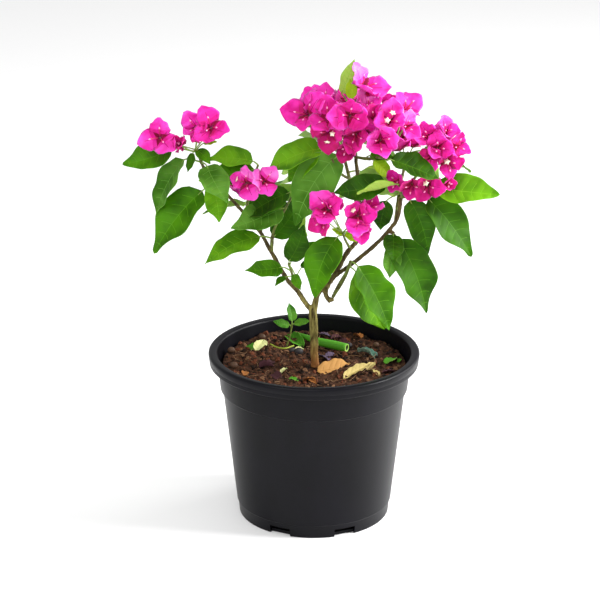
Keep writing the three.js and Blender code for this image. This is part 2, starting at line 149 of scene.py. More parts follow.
def dressStage():
    bpy.ops.mesh.primitive_plane_add(size=view["floorSize"] * mm)
    floor = bpy.context.object
    floor.name = "floor"
    # matt white paper: an even, pale ground
    floor.data.materials.append(newMaterial("whitePaperSweep", "#fafafa", 0.6))
    for name, lamp in lamps.items():
        aim = Vector(view["aim"]) - Vector(lamp["place"])
        bpy.ops.object.light_add(
            type="AREA", location=metres(lamp["place"]),
            rotation=aim.to_track_quat("-Z", "Y").to_euler(),
        )
        light = bpy.context.object
        light.name = name
        light.data.size = lamp["side"] * mm
        light.data.energy = lamp["power"]
    world = bpy.data.worlds.new("softWhiteRoom")
    world.use_nodes = True
    world.node_tree.nodes["Background"].inputs["Color"].default_value = (1, 1, 1, 1)
    world.node_tree.nodes["Background"].inputs["Strength"].default_value = view["roomLight"]
    bpy.context.scene.world = world
    bpy.context.scene.view_settings.view_transform = "Standard"


placeCamera()
dressStage()
print("camera and light placed")


# Meshes built up from parts

def newPile():
    return {"points": [], "faces": [], "slots": [], "count": 0}


def addPart(pile, points, faces, slots):
    pile["faces"] += [[i + pile["count"] for i in face] for face in faces]
    pile["slots"] += list(slots)
    pile["points"].append(np.asarray(points, float))
    pile["count"] += len(points)


def pieceFromPile(name, pile, materials, replaces=(), smooth=True):
    mesh = bpy.data.meshes.new(name)
    mesh.from_pydata(np.concatenate(pile["points"]) * mm, [], pile["faces"])
    for material in materials:
        mesh.materials.append(material)
    mesh.polygons.foreach_set("material_index", pile["slots"])
    mesh.polygons.foreach_set("use_smooth", [smooth] * len(mesh.polygons))
    mesh.update()
    piece = bpy.data.objects.new(name, mesh)
    bpy.context.scene.collection.objects.link(piece)
    dress(piece, replaces)
    return piece


def dress(piece, replaces=()):
    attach(piece, "root")
    if replaces:
        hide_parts(*replaces)


def seeded(seed):
    # the same even draws from 0 to 1 as in the source of the solids
    size = 2 ** 32
    state = [(seed * 2654435) % size]

    def draw():
        state[0] = (state[0] * 1664525 + 1013904223) % size
        return state[0] / size

    return draw


def spread(span, chance):
    # span holds the least value and how much more it can be
    return span[0] + span[1] * chance


def heading(bearing, rise):
    turn, tilt = math.radians(bearing), math.radians(rise)
    return Vector((math.cos(turn) * math.cos(tilt), math.sin(turn) * math.cos(tilt), math.sin(tilt)))


def turned(vector, axis, degrees):
    return Quaternion(axis, math.radians(degrees)) @ vector


def curvePoint(path, share):
    # a point of the smooth curve through the path's points
    place = (len(path) - 1) * share
    index = min(int(place), len(path) - 2)
    weight = place - index
    before = path[index - 1] if index else path[0] * 2 - path[1]
    after = path[index + 2] if index + 2 < len(path) else path[-1] * 2 - path[-2]
    start, end = path[index], path[index + 1]
    leave, arrive = (end - before) / 2, (after - start) / 2
    square, cube = weight ** 2, weight ** 3
    return (start * (2 * cube - 3 * square + 1) + leave * (cube - 2 * square + weight)
            + end * (3 * square - 2 * cube) + arrive * (cube - square))


def addTube(pile, path, radiusAt, sides, rings, slot):
    # a closed tube along the smooth curve, with its ends drawn in to points
    points, faces = [], []
    side = Vector((0, 1, 0))
    near = 1e-3  # how far along the curve its direction is taken
    for i in range(rings + 1):
        share = i / rings
        ahead = curvePoint(path, min(share + near, 1)) - curvePoint(path, max(share - near, 0))
        ahead.normalize()
        side = (side - ahead * side.dot(ahead)).normalized()
        other = ahead.cross(side)
        centre = curvePoint(path, share)
        for k in range(sides):
            angle = 2 * math.pi * k / sides
            radius = radiusAt(share, angle)
            points.append(centre + (side * math.cos(angle) + other * math.sin(angle)) * radius)
    for i in range(rings):
        for k in range(sides):
            a, b = i * sides + k, i * sides + (k + 1) % sides
            faces.append([a, b, b + sides, a + sides])
    last = rings * sides
    ahead = (curvePoint(path, 1) - curvePoint(path, 1 - near)).normalized()
    behind = (curvePoint(path, 0) - curvePoint(path, near)).normalized()
    points += [path[0] + behind * radiusAt(0, 0) * 0.5, path[-1] + ahead * radiusAt(1, 0) * 0.6]
    first, end = len(points) - 2, len(points) - 1
    for k in range(sides):
        following = (k + 1) % sides
        faces.append([first, following, k])
        faces.append([end, last + k, last + following])
    addPart(pile, points, faces, [slot] * len(faces))


# Pot

pot = {
    "height": 163,
    "rimRadius": 100,
    "rimWidth": 8.5,
    "rimDepth": 12,
    "rimRound": 2.6,
    "footRound": 1.2,
    "bandRound": 0.6,
    "collarRound": 1,
    "lipRound": 1.5,
    "beadHeight": 5.2,  # the fine line under the roll of the rim
    "collarRadius": 91.6,
    "collarFootRadius": 88.8,
    "collarFootHeight": 127,
    "wallTopRadius": 86.4,
    "wallFootRadius": 73.8,
    "footBand": 13,
    "footRadius": 71.6,
    "wall": 2.4,
    "floor": 3,
    "facets": 160,
    "smoothBelow": 35,  # degrees between faces up to which an edge is shaded smooth
    "notchBearings": (-117, -66, 63, 114),
    "notchWidth": 21,
    "notchHeight": 8,
    "notchDepth": 5,
    "notchRound": 0.8,
}


def cornerArc(centre, radius, start, end, steps):
    # ring sizes (radius, height) round a moulded corner, from one angle to the other in degrees
    angles = [math.radians(start + (end - start) * i / steps) for i in range(steps + 1)]
    return [(centre[0] + radius * math.cos(a), centre[1] + radius * math.sin(a)) for a in angles]


def potRings():
    # ring sizes (radius, height) up the outside, over the rim and down the inside
    lipFoot = pot["height"] - pot["rimDepth"]
    bead = lipFoot + pot["beadHeight"]
    outer, inner = pot["rimRadius"], pot["rimRadius"] - pot["rimWidth"]
    band, step = pot["footBand"], pot["collarFootHeight"]
    foot, onBand, collar = pot["footRound"], pot["bandRound"], pot["collarRound"]
    lip, curve = pot["lipRound"], pot["rimRound"]
    rings = [(pot["footRadius"] - 2, 0)]
    rings += cornerArc((pot["footRadius"] - foot, foot), foot, -60, 0, 3)
    rings += [(pot["footRadius"] + 1, band - 0.8), (pot["footRadius"] + 1.3, band - 0.2)]
    rings += cornerArc((pot["wallFootRadius"] - onBand, band + 0.8), onBand, -60, 0, 3)
    rings += [(pot["wallTopRadius"], step - 2.6), (pot["wallTopRadius"] + 0.3, step - 1.9)]
    rings += cornerArc((pot["collarFootRadius"] - collar, step), collar, -70, 0, 3)
    rings += [(pot["collarRadius"], lipFoot - 0.6), (pot["collarRadius"] + 0.7, lipFoot)]
    rings += cornerArc((outer - 2.4, lipFoot + lip), lip, -90, 0, 3)
    rings += [(outer - 0.9, bead - 0.5), (outer - 0.5, bead)]
    rings += cornerArc((outer - curve, pot["height"] - curve), curve, 0, 90, 5)
    rings += cornerArc((inner + curve, pot["height"] - 0.4 - curve), curve, 90, 180, 5)
    rings += [
        (pot["collarRadius"] - pot["wall"], lipFoot - 2), (pot["collarFootRadius"] - pot["wall"], step),
        (pot["wallTopRadius"] - pot["wall"], step - 4), (pot["footRadius"] - pot["wall"], pot["floor"]),
    ]
    return rings


def raiseRings(rings):
    # from the selected flat face on, each ring is extruded from the one before and resized
    for (radius, height), (nextRadius, nextHeight) in zip(rings, rings[1:]):
        bpy.ops.mesh.extrude_region_move(
            TRANSFORM_OT_translate={"value": (0, 0, (nextHeight - height) * mm)},
        )
        factor = nextRadius / radius
        bpy.ops.transform.resize(value=(factor, factor, 1), center_override=(0, 0, nextHeight * mm))


def applyModifier(piece, name, kind, **settings):
    modifier = piece.modifiers.new(name, kind)
    for setting, value in settings.items():
        setattr(modifier, setting, value)
    deselectAll()
    piece.select_set(True)
    bpy.context.view_layer.objects.active = piece
    bpy.ops.object.modifier_apply(modifier=name)


def notchCutter():
    bpy.ops.mesh.primitive_cube_add(size=1, location=metres((pot["footRadius"], 0, 0)))
    cutter = bpy.context.object
    cutter.scale = metres((2 * pot["notchDepth"], pot["notchWidth"], 2 * pot["notchHeight"]))
    bpy.ops.object.transform_apply(location=True, rotation=True, scale=True)
    applyModifier(cutter, "round", "BEVEL", width=pot["notchRound"] * mm, segments=4)
    return cutter


def makePot():
    deselectAll()
    rings = potRings()
    bpy.ops.mesh.primitive_circle_add(vertices=pot["facets"], radius=rings[0][0] * mm, fill_type="NGON")
    piece = bpy.context.object
    piece.name = "nursery_pot"
    bpy.ops.object.mode_set(mode="EDIT")
    bpy.ops.mesh.select_all(action="SELECT")
    raiseRings(rings)
    bpy.ops.mesh.select_all(action="SELECT")
    bpy.ops.mesh.normals_make_consistent(inside=False)
    bpy.ops.object.mode_set(mode="OBJECT")
    cutter = notchCutter()
    for turn in pot["notchBearings"]:
        cutter.data.transform(Matrix.Rotation(math.radians(turn), 4, "Z"))
        applyModifier(piece, "notch", "BOOLEAN", object=cutter, operation="DIFFERENCE", solver="EXACT")
        cutter.data.transform(Matrix.Rotation(math.radians(-turn), 4, "Z"))
    bpy.data.objects.remove(cutter)
    deselectAll()
    piece.select_set(True)
    bpy.context.view_layer.objects.active = piece
    bpy.ops.object.shade_smooth_by_angle(angle=math.radians(pot["smoothBelow"]))
    piece.data.materials.append(mouldedPolypropylene())
    dress(piece, ["pot"])


def mouldedPolypropylene():
    # polypropylene, moulded in black: a soft sheen with faint cloudy patches and a fine grain
    material = newMaterial("mouldedPolypropylene", "#07070a", 0.4, Specular_IOR_Level=0.12)
    mottle(material, ("#040407", "#0a0910"), 26, stretch=(1, 1, 0.5), contrast=(0.3, 0.75), detail=6)
    roughen(material, 1.6, 0.05, detail=4)
    return material


makePot()
print("pot made")


# Soil

soil = {
    "top": 145.8,  # at the trunk
    "rise": 3.5,  # lies this much higher at the wall than at the trunk
    "flat": 16,  # level within this radius
    "radius": 86.6,
    "cell": 1.1,  # mesh spacing
    "lumps": ((38, 3), (13, 2.6), (5.5, 2), (2.2, 0.9)),  # size and height of swells, clods and grains
    "shadeBelow": 3.5,  # how far above the notches the soil is painted nearly black, as painted shade inside the notches
}
crumb = {
    "count": 2200,
    "size": (0.4, 2.8),
    "clearOfTrunk": 6,
    "clearOfWall": 2,
    "shadeBy": 60,  # over this distance back and to the right the darker tones come to prevail: painted shade of the pot wall
    "seed": 71,
}


def soilHeight(x, y):
    away = math.hypot(x, y)
    height = soil["top"] + soil["rise"] * max(0, away - soil["flat"]) / (soil["radius"] - soil["flat"])
    for size, rise in soil["lumps"]:
        height += rise * noise.noise(Vector((x, y, 7.3 * size)) / size)
    return height


def makeSoil():
    deselectAll()
    cells = int(2 * soil["radius"] / soil["cell"]) + 2
    half = cells * soil["cell"] / 2
    bpy.ops.mesh.primitive_grid_add(x_subdivisions=cells, y_subdivisions=cells, size=2 * half * mm)
    piece = bpy.context.object
    piece.name = "potting_soil"
    bpy.ops.object.mode_set(mode="EDIT")
    bpy.ops.mesh.select_mode(type="VERT")
    bpy.ops.mesh.select_all(action="DESELECT")
    bpy.ops.object.mode_set(mode="OBJECT")
    limit = soil["radius"] + soil["cell"] * 0.7  # points near the wall are drawn onto it
    for vertex in piece.data.vertices:
        away = vertex.co.xy.length / mm
        vertex.select = away > limit
        if soil["radius"] - soil["cell"] * 0.3 < away <= limit:
            vertex.co.xy *= soil["radius"] / away
        vertex.co.z = soilHeight(vertex.co.x / mm, vertex.co.y / mm) * mm
    bpy.ops.object.mode_set(mode="EDIT")
    bpy.ops.mesh.delete(type="VERT")
    bpy.ops.mesh.select_all(action="SELECT")
    bpy.ops.mesh.region_to_loop()
    lowest = pot["floor"] + 0.6
    inner = pot["footRadius"] - pot["notchDepth"] - 1
    steps = [
        (pot["wallTopRadius"] - pot["wall"] - 0.4, pot["collarFootHeight"] - 5),
        (pot["footRadius"] - pot["wall"] + 0.6, pot["notchHeight"] + 4),
        (inner, pot["notchHeight"] + 3), (inner, lowest),
    ]
    radius, height = soil["radius"], soil["top"] + soil["rise"]
    for nextRadius, nextHeight in steps:
        drop = (0, 0, (nextHeight - height) * mm)
        bpy.ops.mesh.extrude_edges_move(TRANSFORM_OT_translate={"value": drop})
        factor = nextRadius / radius
        bpy.ops.transform.resize(value=(factor, factor, 0), center_override=(0, 0, nextHeight * mm))
        radius, height = nextRadius, nextHeight
    bpy.ops.mesh.edge_face_add()
    bpy.ops.mesh.select_all(action="SELECT")
    bpy.ops.mesh.normals_make_consistent(inside=False)
    bpy.ops.object.mode_set(mode="OBJECT")
    piece.data.materials.append(pottingSoil())
    # painted shade: potting soil low in the pot, seen through the notches, made nearly black and dull
    piece.data.materials.append(newMaterial("notchShadeSoil", "#070504", 0.9, Specular_IOR_Level=0.1))
    shadeTop = (pot["notchHeight"] + soil["shadeBelow"]) * mm
    # faces below this height take the nearly black painted shade
    for polygon in piece.data.polygons:
        polygon.material_index = int(polygon.center.z < shadeTop)
    bpy.ops.object.shade_smooth()
    dress(piece, ["soil"])


def pottingSoil():
    # red-brown potting soil: dull, with dark damp patches and grit of a millimetre
    material = newMaterial("pottingSoil", "#3e281b", 0.95, Specular_IOR_Level=0.1)
    mottle(material, ("#1a0f09", "#4a3022"), 5, contrast=(0.36, 0.64), detail=8)
    roughen(material, 1.4, 0.35, detail=5)
    return material


def makeCrumbs():
    # one rough crumb, copied over the soil at many sizes and turns
    deselectAll()
    bpy.ops.mesh.primitive_ico_sphere_add(subdivisions=2, radius=1)
    model = bpy.context.object
    shape = np.array([
        vertex.co * (1 + 0.9 * noise.noise(vertex.co * 1.3)) for vertex in model.data.vertices
    ])
    faces = [list(polygon.vertices) for polygon in model.data.polygons]
    bpy.data.objects.remove(model)
    pile, draw = newPile(), seeded(crumb["seed"])
    least, most = crumb["size"]
    for _ in range(crumb["count"]):
        away = (soil["radius"] - crumb["clearOfWall"]) * math.sqrt(draw())
        angle = 2 * math.pi * draw()
        size = least + (most - least) * draw() ** 4
        spin = Quaternion(heading(360 * draw(), 90 - 180 * draw()), 2 * math.pi * draw())
        stretch = [1, 0.6 + 0.4 * draw(), 0.5 + 0.4 * draw()]
        x, y = away * math.cos(angle), away * math.sin(angle)
        # the darkest tone comes more often towards the back and right: painted shade of the wall
        tone = int(4 * draw() ** (1 + max(0, x + y) / crumb["shadeBy"]))
        if away < crumb["clearOfTrunk"]:
            continue
        matrix = np.array(spin.to_matrix()) * size
        points = (shape * stretch) @ matrix.T + [x, y, soilHeight(x, y) + size * 0.1]
        addPart(pile, points, faces, [tone] * len(faces))
    tones = [
        ("dampAndShadeCrumb", "#1b110b"), ("soilCrumb", "#41291b"), ("dryCrumb", "#6a4c36"), ("rustCrumb", "#5e3422"),
    ]
    # crumbs of peat and clay, damp to dry, the darkest dealt more often at the back and right as painted
    # shade: dull and rough
    materials = [newMaterial(name, colour, 0.95, Specular_IOR_Level=0.15) for name, colour in tones]
    for material in materials:
        roughen(material, 1.2, 0.5, detail=5)
    pieceFromPile("soil_crumbs", pile, materials, smooth=False)


makeSoil()
makeCrumbs()
print("soil laid")


# Trunk and boughs

trunk = {
    "path": [(1, 0, 146.35), (1, 0, 150), (0, 0, 161), (0.1, 0, 174), (-0.4, 0, 188), (-1.4, 0, 204)],
    "radii": (3.6, 3.9), "flare": 0.8,  # the root flare widens the foot by this much
}
boughs = {
    "bough_left": {
        "path": [
            (-2.5, 0, 203), (-9, 1, 211), (-15, 1.5, 221), (-25, 3, 232), (-39.5, 5, 258),
            (-51.6, 7, 280), (-67, 9, 298), (-82, 10, 315),
        ],
        "radii": (2.5, 1.5),
    },
    "bough_centre": {
        "path": [
            (-0.6, 0, 202), (1.4, 0, 212), (4, 0.5, 221), (11, 2, 227), (18.5, 3, 236), (30, 6, 257),
            (40.6, 10, 270), (43.7, 12, 286), (42.5, 12, 308), (38.5, 8, 350),
        ],
        "radii": (3.2, 1.7),
    },
    "bough_right": {
        "path": [
            (15, 2, 233), (38, -3, 252.5), (57, -9, 271.5), (69, -12, 286), (77, -15, 300), (80, -13, 318),
        ],
        "radii": (2, 1.8),
    },
    "pruned_spur": {
        "path": [(11.5, -1, 225), (11, -2, 219.5), (13, -2.5, 215.5), (17.5, -2.5, 214)],
        "radii": (2.1, 2.2),
    },
}
knobs = [
    # stubs of cut twigs and swollen nodes: two ends and the radii there
    ((2.4, 0, 217), (-1.6, -1, 225), (2.2, 1.7)),
    ((14, 1, 228), (9, -2.5, 222), (2, 2.6)),
    ((13, -2.5, 215.5), (14.5, -3.5, 212), (1.8, 1.5)),
    ((69, -12, 286), (73.5, -15, 284.5), (2.1, 1.9)),
    ((-15, 1.5, 221), (-18, 0, 225), (2, 1.6)),
]
bark = {
    "voxel": 0.6,
    "flareFade": 12,
    # the long ridges and the fine grain: height, width, and the squeeze that draws them out upwards
    "ridges": (0.45, 1.9, 0.22),
    "grain": (0.22, 0.9, 0.5),
    "brownFoot": (150, 176),  # heights between which the brown of the foot fades out
    "darkTop": (206, 236),  # and those between which the dark of the boughs comes in
}


def vectors(path):
    return [Vector(point) for point in path]


def makeBark():
    pile = newPile()
    for name, limb in [("trunk", trunk), *boughs.items()]:
        base, tip = limb["radii"]
        flare = limb.get("flare", 0)

        def radiusAt(share, angle):
            return base + (tip - base) * share + flare * math.exp(-bark["flareFade"] * share)

        addTube(pile, vectors(limb["path"]), radiusAt, 20, 8 * len(limb["path"]), 0)
    for start, end, (base, tip) in knobs:
        addTube(pile, vectors([start, end]), lambda share, _: base + (tip - base) * share, 12, 6, 0)
    piece = pieceFromPile("bark", pile, [barkMaterial()])
    applyModifier(piece, "fuse", "REMESH", mode="VOXEL", voxel_size=bark["voxel"] * mm)
    applyModifier(piece, "soften", "SMOOTH", factor=0.5, iterations=4)
    mesh = piece.data
    normals = [vertex.normal.copy() for vertex in mesh.vertices]
    for vertex, normal in zip(mesh.vertices, normals):
        point = vertex.co / mm
        relief = 0
        for height, width, squeeze in (bark["ridges"], bark["grain"]):
            relief += height * noise.noise(Vector((point.x, point.y, point.z * squeeze)) / width)
        vertex.co += normal * relief * mm
    mesh.polygons.foreach_set("use_smooth", [True] * len(mesh.polygons))
    dress(piece, ["trunk", *boughs])


def barkMaterial():
    # young woody stem: olive-tan bark in long dry streaks, browner at the foot and darker on the boughs
    material = newMaterial("barkOfYoungWood", "#7b7145", 0.75, Specular_IOR_Level=0.2)
    colours = mottle(
        material, ("#3a2f12", "#958a4c"), 2.4, stretch=(1, 1, 0.2), contrast=(0.34, 0.62), detail=6,
    )
    place = addNode(material, "ShaderNodeTexCoord").outputs["Object"]
    axes = addNode(material, "ShaderNodeSeparateXYZ", links={0: place})
    for colour, (low, high), below, above in (
        ("#7a4e26", bark["brownFoot"], 1, 0), ("#3a2c1c", bark["darkTop"], 0, 0.75),
    ):
        amount = addNode(
            material, "ShaderNodeMapRange",
            {"From Min": low * mm, "From Max": high * mm, "To Min": below, "To Max": above},
            {"Value": axes.outputs["Z"]},
        )
        colours = addNode(
            material, "ShaderNodeMix", {mixTo: linear(colour)},
            {mixFactor: amount.outputs[0], mixFrom: colours.outputs[mixResult]}, data_type="RGBA",
        )
    linkShader(material, "Base Color", colours.outputs[mixResult])
    roughen(material, 0.8, 0.25, stretch=(1, 1, 0.3), detail=4)
    return material


makeBark()
print("trunk and boughs made")


# Shoots: the twigs, leaves and flowers are set by the same numbers, rule and draws as the solids.
# leaves: place along the twig, stalk, bearing, rise, length, then lift of the stalk above the leaf's
# own rise, roll about itself, and tone.
# flowers: place along the twig, bearing, rise and reach of the knot, then length of a bract, turn of the
# first bract, opening, and bearing and rise of the way that the flower looks. Words give the blush and
# an open star. What a row leaves out from its end is usual or drawn by the shoot's seed.
# moreLeaves and moreFlowers are drawn by that seed altogether. A belly swells a twig in its middle.
# Words and bellies are for the looks alone: the solids have neither, and their sprout starts 0.6 higher.

shoots = {
    "shoot_left_tip": {
        "faces": 265, "seed": 3,
        "twigs": [{
            "path": [[-81, 10, 313.5], [-100, 5, 338], [-106, 2, 352], [-110, 0, 361]],
            "radii": [1.7, 0.9],
            "leaves": [
                [0.9, 22, 185, -17, 49, "mid"], [0.55, 16, 192, -51, 60, 64, 30, "grey"],
                [0.15, 16, 210, -39, 74, "mid"], [0.55, 13, 295, -25, 46, "grey"],
                [0.4, 20, 295, -55, 37, "bright"], [1, 4, 235, -60, 19, "deep"],
                [1, 2, 320, -25, 20, "mid"], [0.95, 12, 335, 20, 13, "young"],
            ],
            "flowers": [
                [1, 191, 22, 35, 24, -10, 62, 262, 22, "pale"],
                [0.9, 214, 28, 18, 18, 20, 18, 250, 30, "deep"],
                [1, 280, 40, 17, 13, 0, 10, 270, 60, "deep"], [1, 55, 75, 19, 21, 35, 55, 240, 30],
                [1, 338, 54, 28, 23, 10, 52, 275, 30],
            ],
        }],
    },
    "shoot_left_upper": {
        "faces": 265, "seed": 5,
        "twigs": [{
            "path": [[-64, 8.5, 294], [-60, 4, 320], [-52, 0, 346]], "radii": [1.5, 0.8],
            "leaves": [[1, 6, 190, 15, 43, "bright"], [0.9, 2, 205, 0, 48, "mid"]],
            "flowers": [
                [0.9, 243, -21, 20, 21, 90, 55, 252, 25, "pale"],
                [0.9, 291, -15, 21, 21, 75, 50, 282, 28, "pale"],
            ],
        }],
    },
    "shoot_left_spur": {
        "faces": 270, "seed": 7,
        "twigs": [{
            "path": [[-17, 2, 224], [-20, -3, 238], [-24, -6, 252]], "radii": [1.7, 0.9],
            "leaves": [
                [0.7, 11, 210, 5, 39, "mid"], [0.9, 7, 15, 40, 29, "mid"], [0.5, 8, 215, -20, 14, "mid"],
                [0.95, 16, 290, -40, 17, "mid"], [0.3, 14, 35, 30, 15, "deep"],
                [0.95, 3, 0, 65, 38, "deep"],
            ],
        }],
    },
    "shoot_centre_left": {
        "faces": 265, "seed": 13,
        "twigs": [{
            "path": [[41, 11, 325], [25, -3, 338], [19, -14, 351], [10, -8, 364]], "radii": [1.5, 0.8],
            "leaves": [
                [1, 3, 188, -12, 58, "bright"], [0.6, 12, 195, -52, 78, 150, -22, "grey"],
                [1, 7, 182, -40, 44, "bright"],
            ],
        }],
    },
    "shoot_left_middle": {
        "faces": 265, "seed": 11,
        "twigs": [{
            "path": [[-40, 5, 259], [-38, 4, 280], [-28, 2, 301], [-17, -2, 323]], "radii": [1.6, 0.8],
            "leaves": [
                [0.7, 3, 208, -12, 54, "grey"], [0.95, 4, 192, -20, 50, "deep"],
                [0.15, 5, 20, 50, 50, "deep"], [0.22, 12, 200, -10, 60, "bright"],
            ],
        }],
    },
    "shoot_low_right": {
        "faces": 290, "seed": 41,
        "twigs": [{
            "path": [[17.5, -2, 216.8], [20.5, -3, 223], [25, -5, 232], [30, -8, 243], [34, -9, 255]],
            "radii": [1.6, 1.3], "belly": 0.8,
            "leaves": [[1, 8, 330, -50, 68, "mid"], [0.9, 8, 355, -66, 67, "bright"]],
        }],
    },
    "shoot_low_front": {
        "faces": 270, "seed": 43,
        "twigs": [{
            "path": [[33, 7, 263], [29, -4, 274], [26, -12, 284]], "radii": [1.4, 0.8],
            "leaves": [
                [0.85, 8, 225, -45, 61, 45, "mid"], [0.95, 2, 335, -20, 14, "young"],
                [0.9, 2, 225, 30, 13, "young"],
            ],
            "flowers": [
                [1, 236, 50, 38, 24, 50, 52, 262, 25], [1, 231, 37, 32, 20, 120, 50, 240, 0, "deep"],
                [1, 232, 58, 33, 19, 0, 30, 280, 55], [1, 308, 45, 32, 23, 45, 52, 275, 20],
                [1, 310, 27, 29, 17, 180, 50, 275, -5, "deep"], [1, 336, 47, 36, 20, -40, 45, 300, 40],
            ],
        }],
    },
    "shoot_right_node": {
        "faces": 280, "seed": 37,
        "twigs": [{
            "path": [[68, -11, 285], [73, -15, 284], [76, -18, 280]], "radii": [1.4, 1.1],
            "leaves": [
                [0.65, 5, 322, -54, 75, "deep"], [0.5, 3, 270, -20, 34, "deep"],
                [0.7, 12, 260, -60, 30, "grey"],
            ],
        }],
    },
    "shoot_right": {
        "faces": 280, "seed": 29,
        "twigs": [
            {
                "path": [[80, -13, 318.5], [92, -10, 336], [108, -6, 354]], "radii": [1.6, 0.9],
                "leaves": [
                    [0.15, 21, 195, -5, 50, 35, "deep"], [0.15, 19, 172, -76, 34, 48, 0, "deep"],
                    [0.8, 12, 10, 0, 25, "young"],
                ],
                "flowers": [
                    [1, 248, 69, 24, 20, 20, 45, 250, 35], [1, 0, 64, 26, 19, 0, 42, 290, 45, "pale"],
                    [0.9, 295, 46, 27, 20, 30, 50, 272, 20], [0.9, 343, 35, 30, 19, -30, 52, 315, 25],
                    [0.7, 302, 48, 24, 18, 70, 50, 250, -5, "deep"],
                    [0.7, 338, 28, 28, 17, 180, 48, 290, -10, "deep"],
                ],
            },
            {
                "path": [[81, -13, 319], [96, -16, 322], [114, -14, 324]], "radii": [1.5, 0.9],
                "leaves": [
                    [0.55, 8, 335, -42, 68, "deep"], [0.15, 5, 305, -50, 53, 25, 20, "deep"],
                    [0.8, 6, 345, 3, 62, 60, "bright"],
                ],
                "flowers": [
                    [0.2, 189, 57, 18, 16, 40, 45, 240, 10, "deep"],
                    [0.4, 233, 67, 14, 18, 180, 50, 262, -15, "wine"],
                    [0.6, 300, 52, 15, 19, 150, 52, 272, 5, "deep"],
                    [0.9, 332, 41, 16, 12, 20, 40, 300, 15, "deep"],
                ],
            },
            {
                "path": [[80, -13, 318.6], [80, -20, 327], [77, -28, 336]], "radii": [0.9, 0.7],
                "leaves": [[1, 3, 186, -8, 37, 20, 80, "bright"]],
            },
        ],
    },
    "shoot_crown": {
        "faces": 270, "seed": 19,
        "twigs": [
            {
                "path": [[38.5, 8, 350.5], [35, 4, 378], [36, 2, 408]], "radii": [1.8, 0.9],
                "leaves": [
                    [0.8, 22, 20, 66, 34, 55, 165, "bright"], [0.95, 5, 165, 50, 15, "deep"],
                    [0.95, 14, 75, 74, 21, 76, "young"],
                ],
                "flowers": [
                    [0.35, 264, 43, 48, 25, -10, 50, 270, 25],
                    [0.4, 317, 55, 32, 26, 0, 32, 285, 60, "pale"],
                    [0.15, 271, 40, 37, 20, 30, 45, 262, 0, "wine"],
                    [0.1, 254, 28, 30, 17, 180, 45, 250, -15, "wine"], [0.5, 97, 52, 26],
                    [0.9, 330, 64, 20, 30, 0, 44, 312, 42, "pale"],
                    [0.5, 303, 30, 39, 21, 40, 42, 285, 30],
                ],
            },
            {
                "path": [[38, 8, 352], [22, 2, 366], [6, -4, 384]], "radii": [1.6, 0.9],
                "flowers": [
                    [1, 235, 39, 25, 26, 90, 58, 235, 25], [1, 192, 63, 21, 22, 40, 50, 225, 50, "pale"],
                    [0.8, 269, 40, 34, 26, 5, 50, 265, 30],
                    [0.6, 207, 74, 38, 24, 0, 34, 270, 60, "pale"],
                    [0.7, 263, 30, 25, 22, 180, 50, 258, -8, "wine", "star"], [0.5, 133, 53, 37],
                ],
            },
            {
                "path": [[38.5, 8, 351], [52, 0, 352], [66, -8, 358], [74, -10, 372]],
                "radii": [1.5, 0.9],
                "leaves": [[0.3, 4, 345, -39, 24, "young"], [0.2, 6, 335, 10, 24, "mid"]],
                "flowers": [
                    [0.9, 256, 55, 36, 25, 0, 50, 285, 28, "star"],
                    [1, 294, 45, 25, 19, -20, 46, 300, 25, "pale"],
                    [1, 48, 66, 27, 22, 30, 45, 325, 50, "pale"], [0.9, 91, 51, 37],
                ],
            },
            {
                "path": [[57, -3, 354], [61, -20, 359], [66, -39, 363]], "radii": [1.2, 0.8],
                "leaves": [[1, 3, 355, -16, 49, "deep"]],
                "flowers": [[0.7, 249, 64, 23, 26, 60, 50, 275, 5]],
            },
        ],
    },
    "shoot_basal": {
        "faces": 275, "seed": 61,
        "twigs": [{
            "path": [[-26, 49, 148], [-23, 49, 158], [-21, 49, 170]], "radii": [0.9, 0.7],
            "leaves": [
                [1, 3, 100, 65, 19, "sprout"], [0.9, 3, 200, 20, 17, "sprout"],
                [0.95, 3, 340, 20, 17, "sprout"],
            ],
        }],
    },
    "shoot_back_left": {
        "faces": 100, "seed": 67,
        "twigs": [{
            "path": [[-50, 8, 278], [-50, 32, 292], [-58, 50, 300]], "radii": [1.6, 0.9],
            "moreLeaves": 10, "moreFlowers": 2,
        }],
    },
    "shoot_back_centre": {
        "faces": 90, "seed": 324,
        "twigs": [{
            "path": [[43.5, 12, 290], [32, 40, 325], [22, 56, 365]], "radii": [1.7, 0.9],
            "moreLeaves": 10, "moreFlowers": 5,
        }],
    },
    "shoot_back_right": {
        "faces": 80, "seed": 314,
        "twigs": [{
            "path": [[75, -14, 296], [80, 18, 318], [88, 44, 345]], "radii": [1.6, 0.9],
            "moreLeaves": 9, "moreFlowers": 4,
        }],
    },
}

leaf = {
    "width": 0.54,
    "fold": 0.24,
    "veins": 7,  # side veins on each side of the rib
    "rowsPerVein": 4,
    "veinWidth": 0.006,
    "across": (0.014, 0.3, 0.6, 0.85, 0.975, 1),
    "sweep": 0.24,  # how far forward the side veins run
    "swell": 0.5, "taper": 0.7,  # shape of the outline: base and tip
    "drip": 0.5,  # how much narrower the tip is drawn
    "quilt": 0.34,  # height of the puckers between side veins
    "thickness": 0.5,
    "wave": 0.026,
    "crinkle": 0.004,
    "sway": 0.2,  # how far a tip may stray sideways
    "twist": 26,
    "petioleLift": 25,
    "roll": 40,  # leaves roll about themselves within this many degrees
    "stalkRadius": 0.7,
    "stalks": (0.65, 0.35), "fullStalk": 50,  # leaves shorter than this have thinner stalks
    "youngBelow": 32,  # shorter leaves are of the young green
    "curls": (8, 26),  # how far a leaf bends down, in degrees
    "widths": (0.92, 0.16),
}
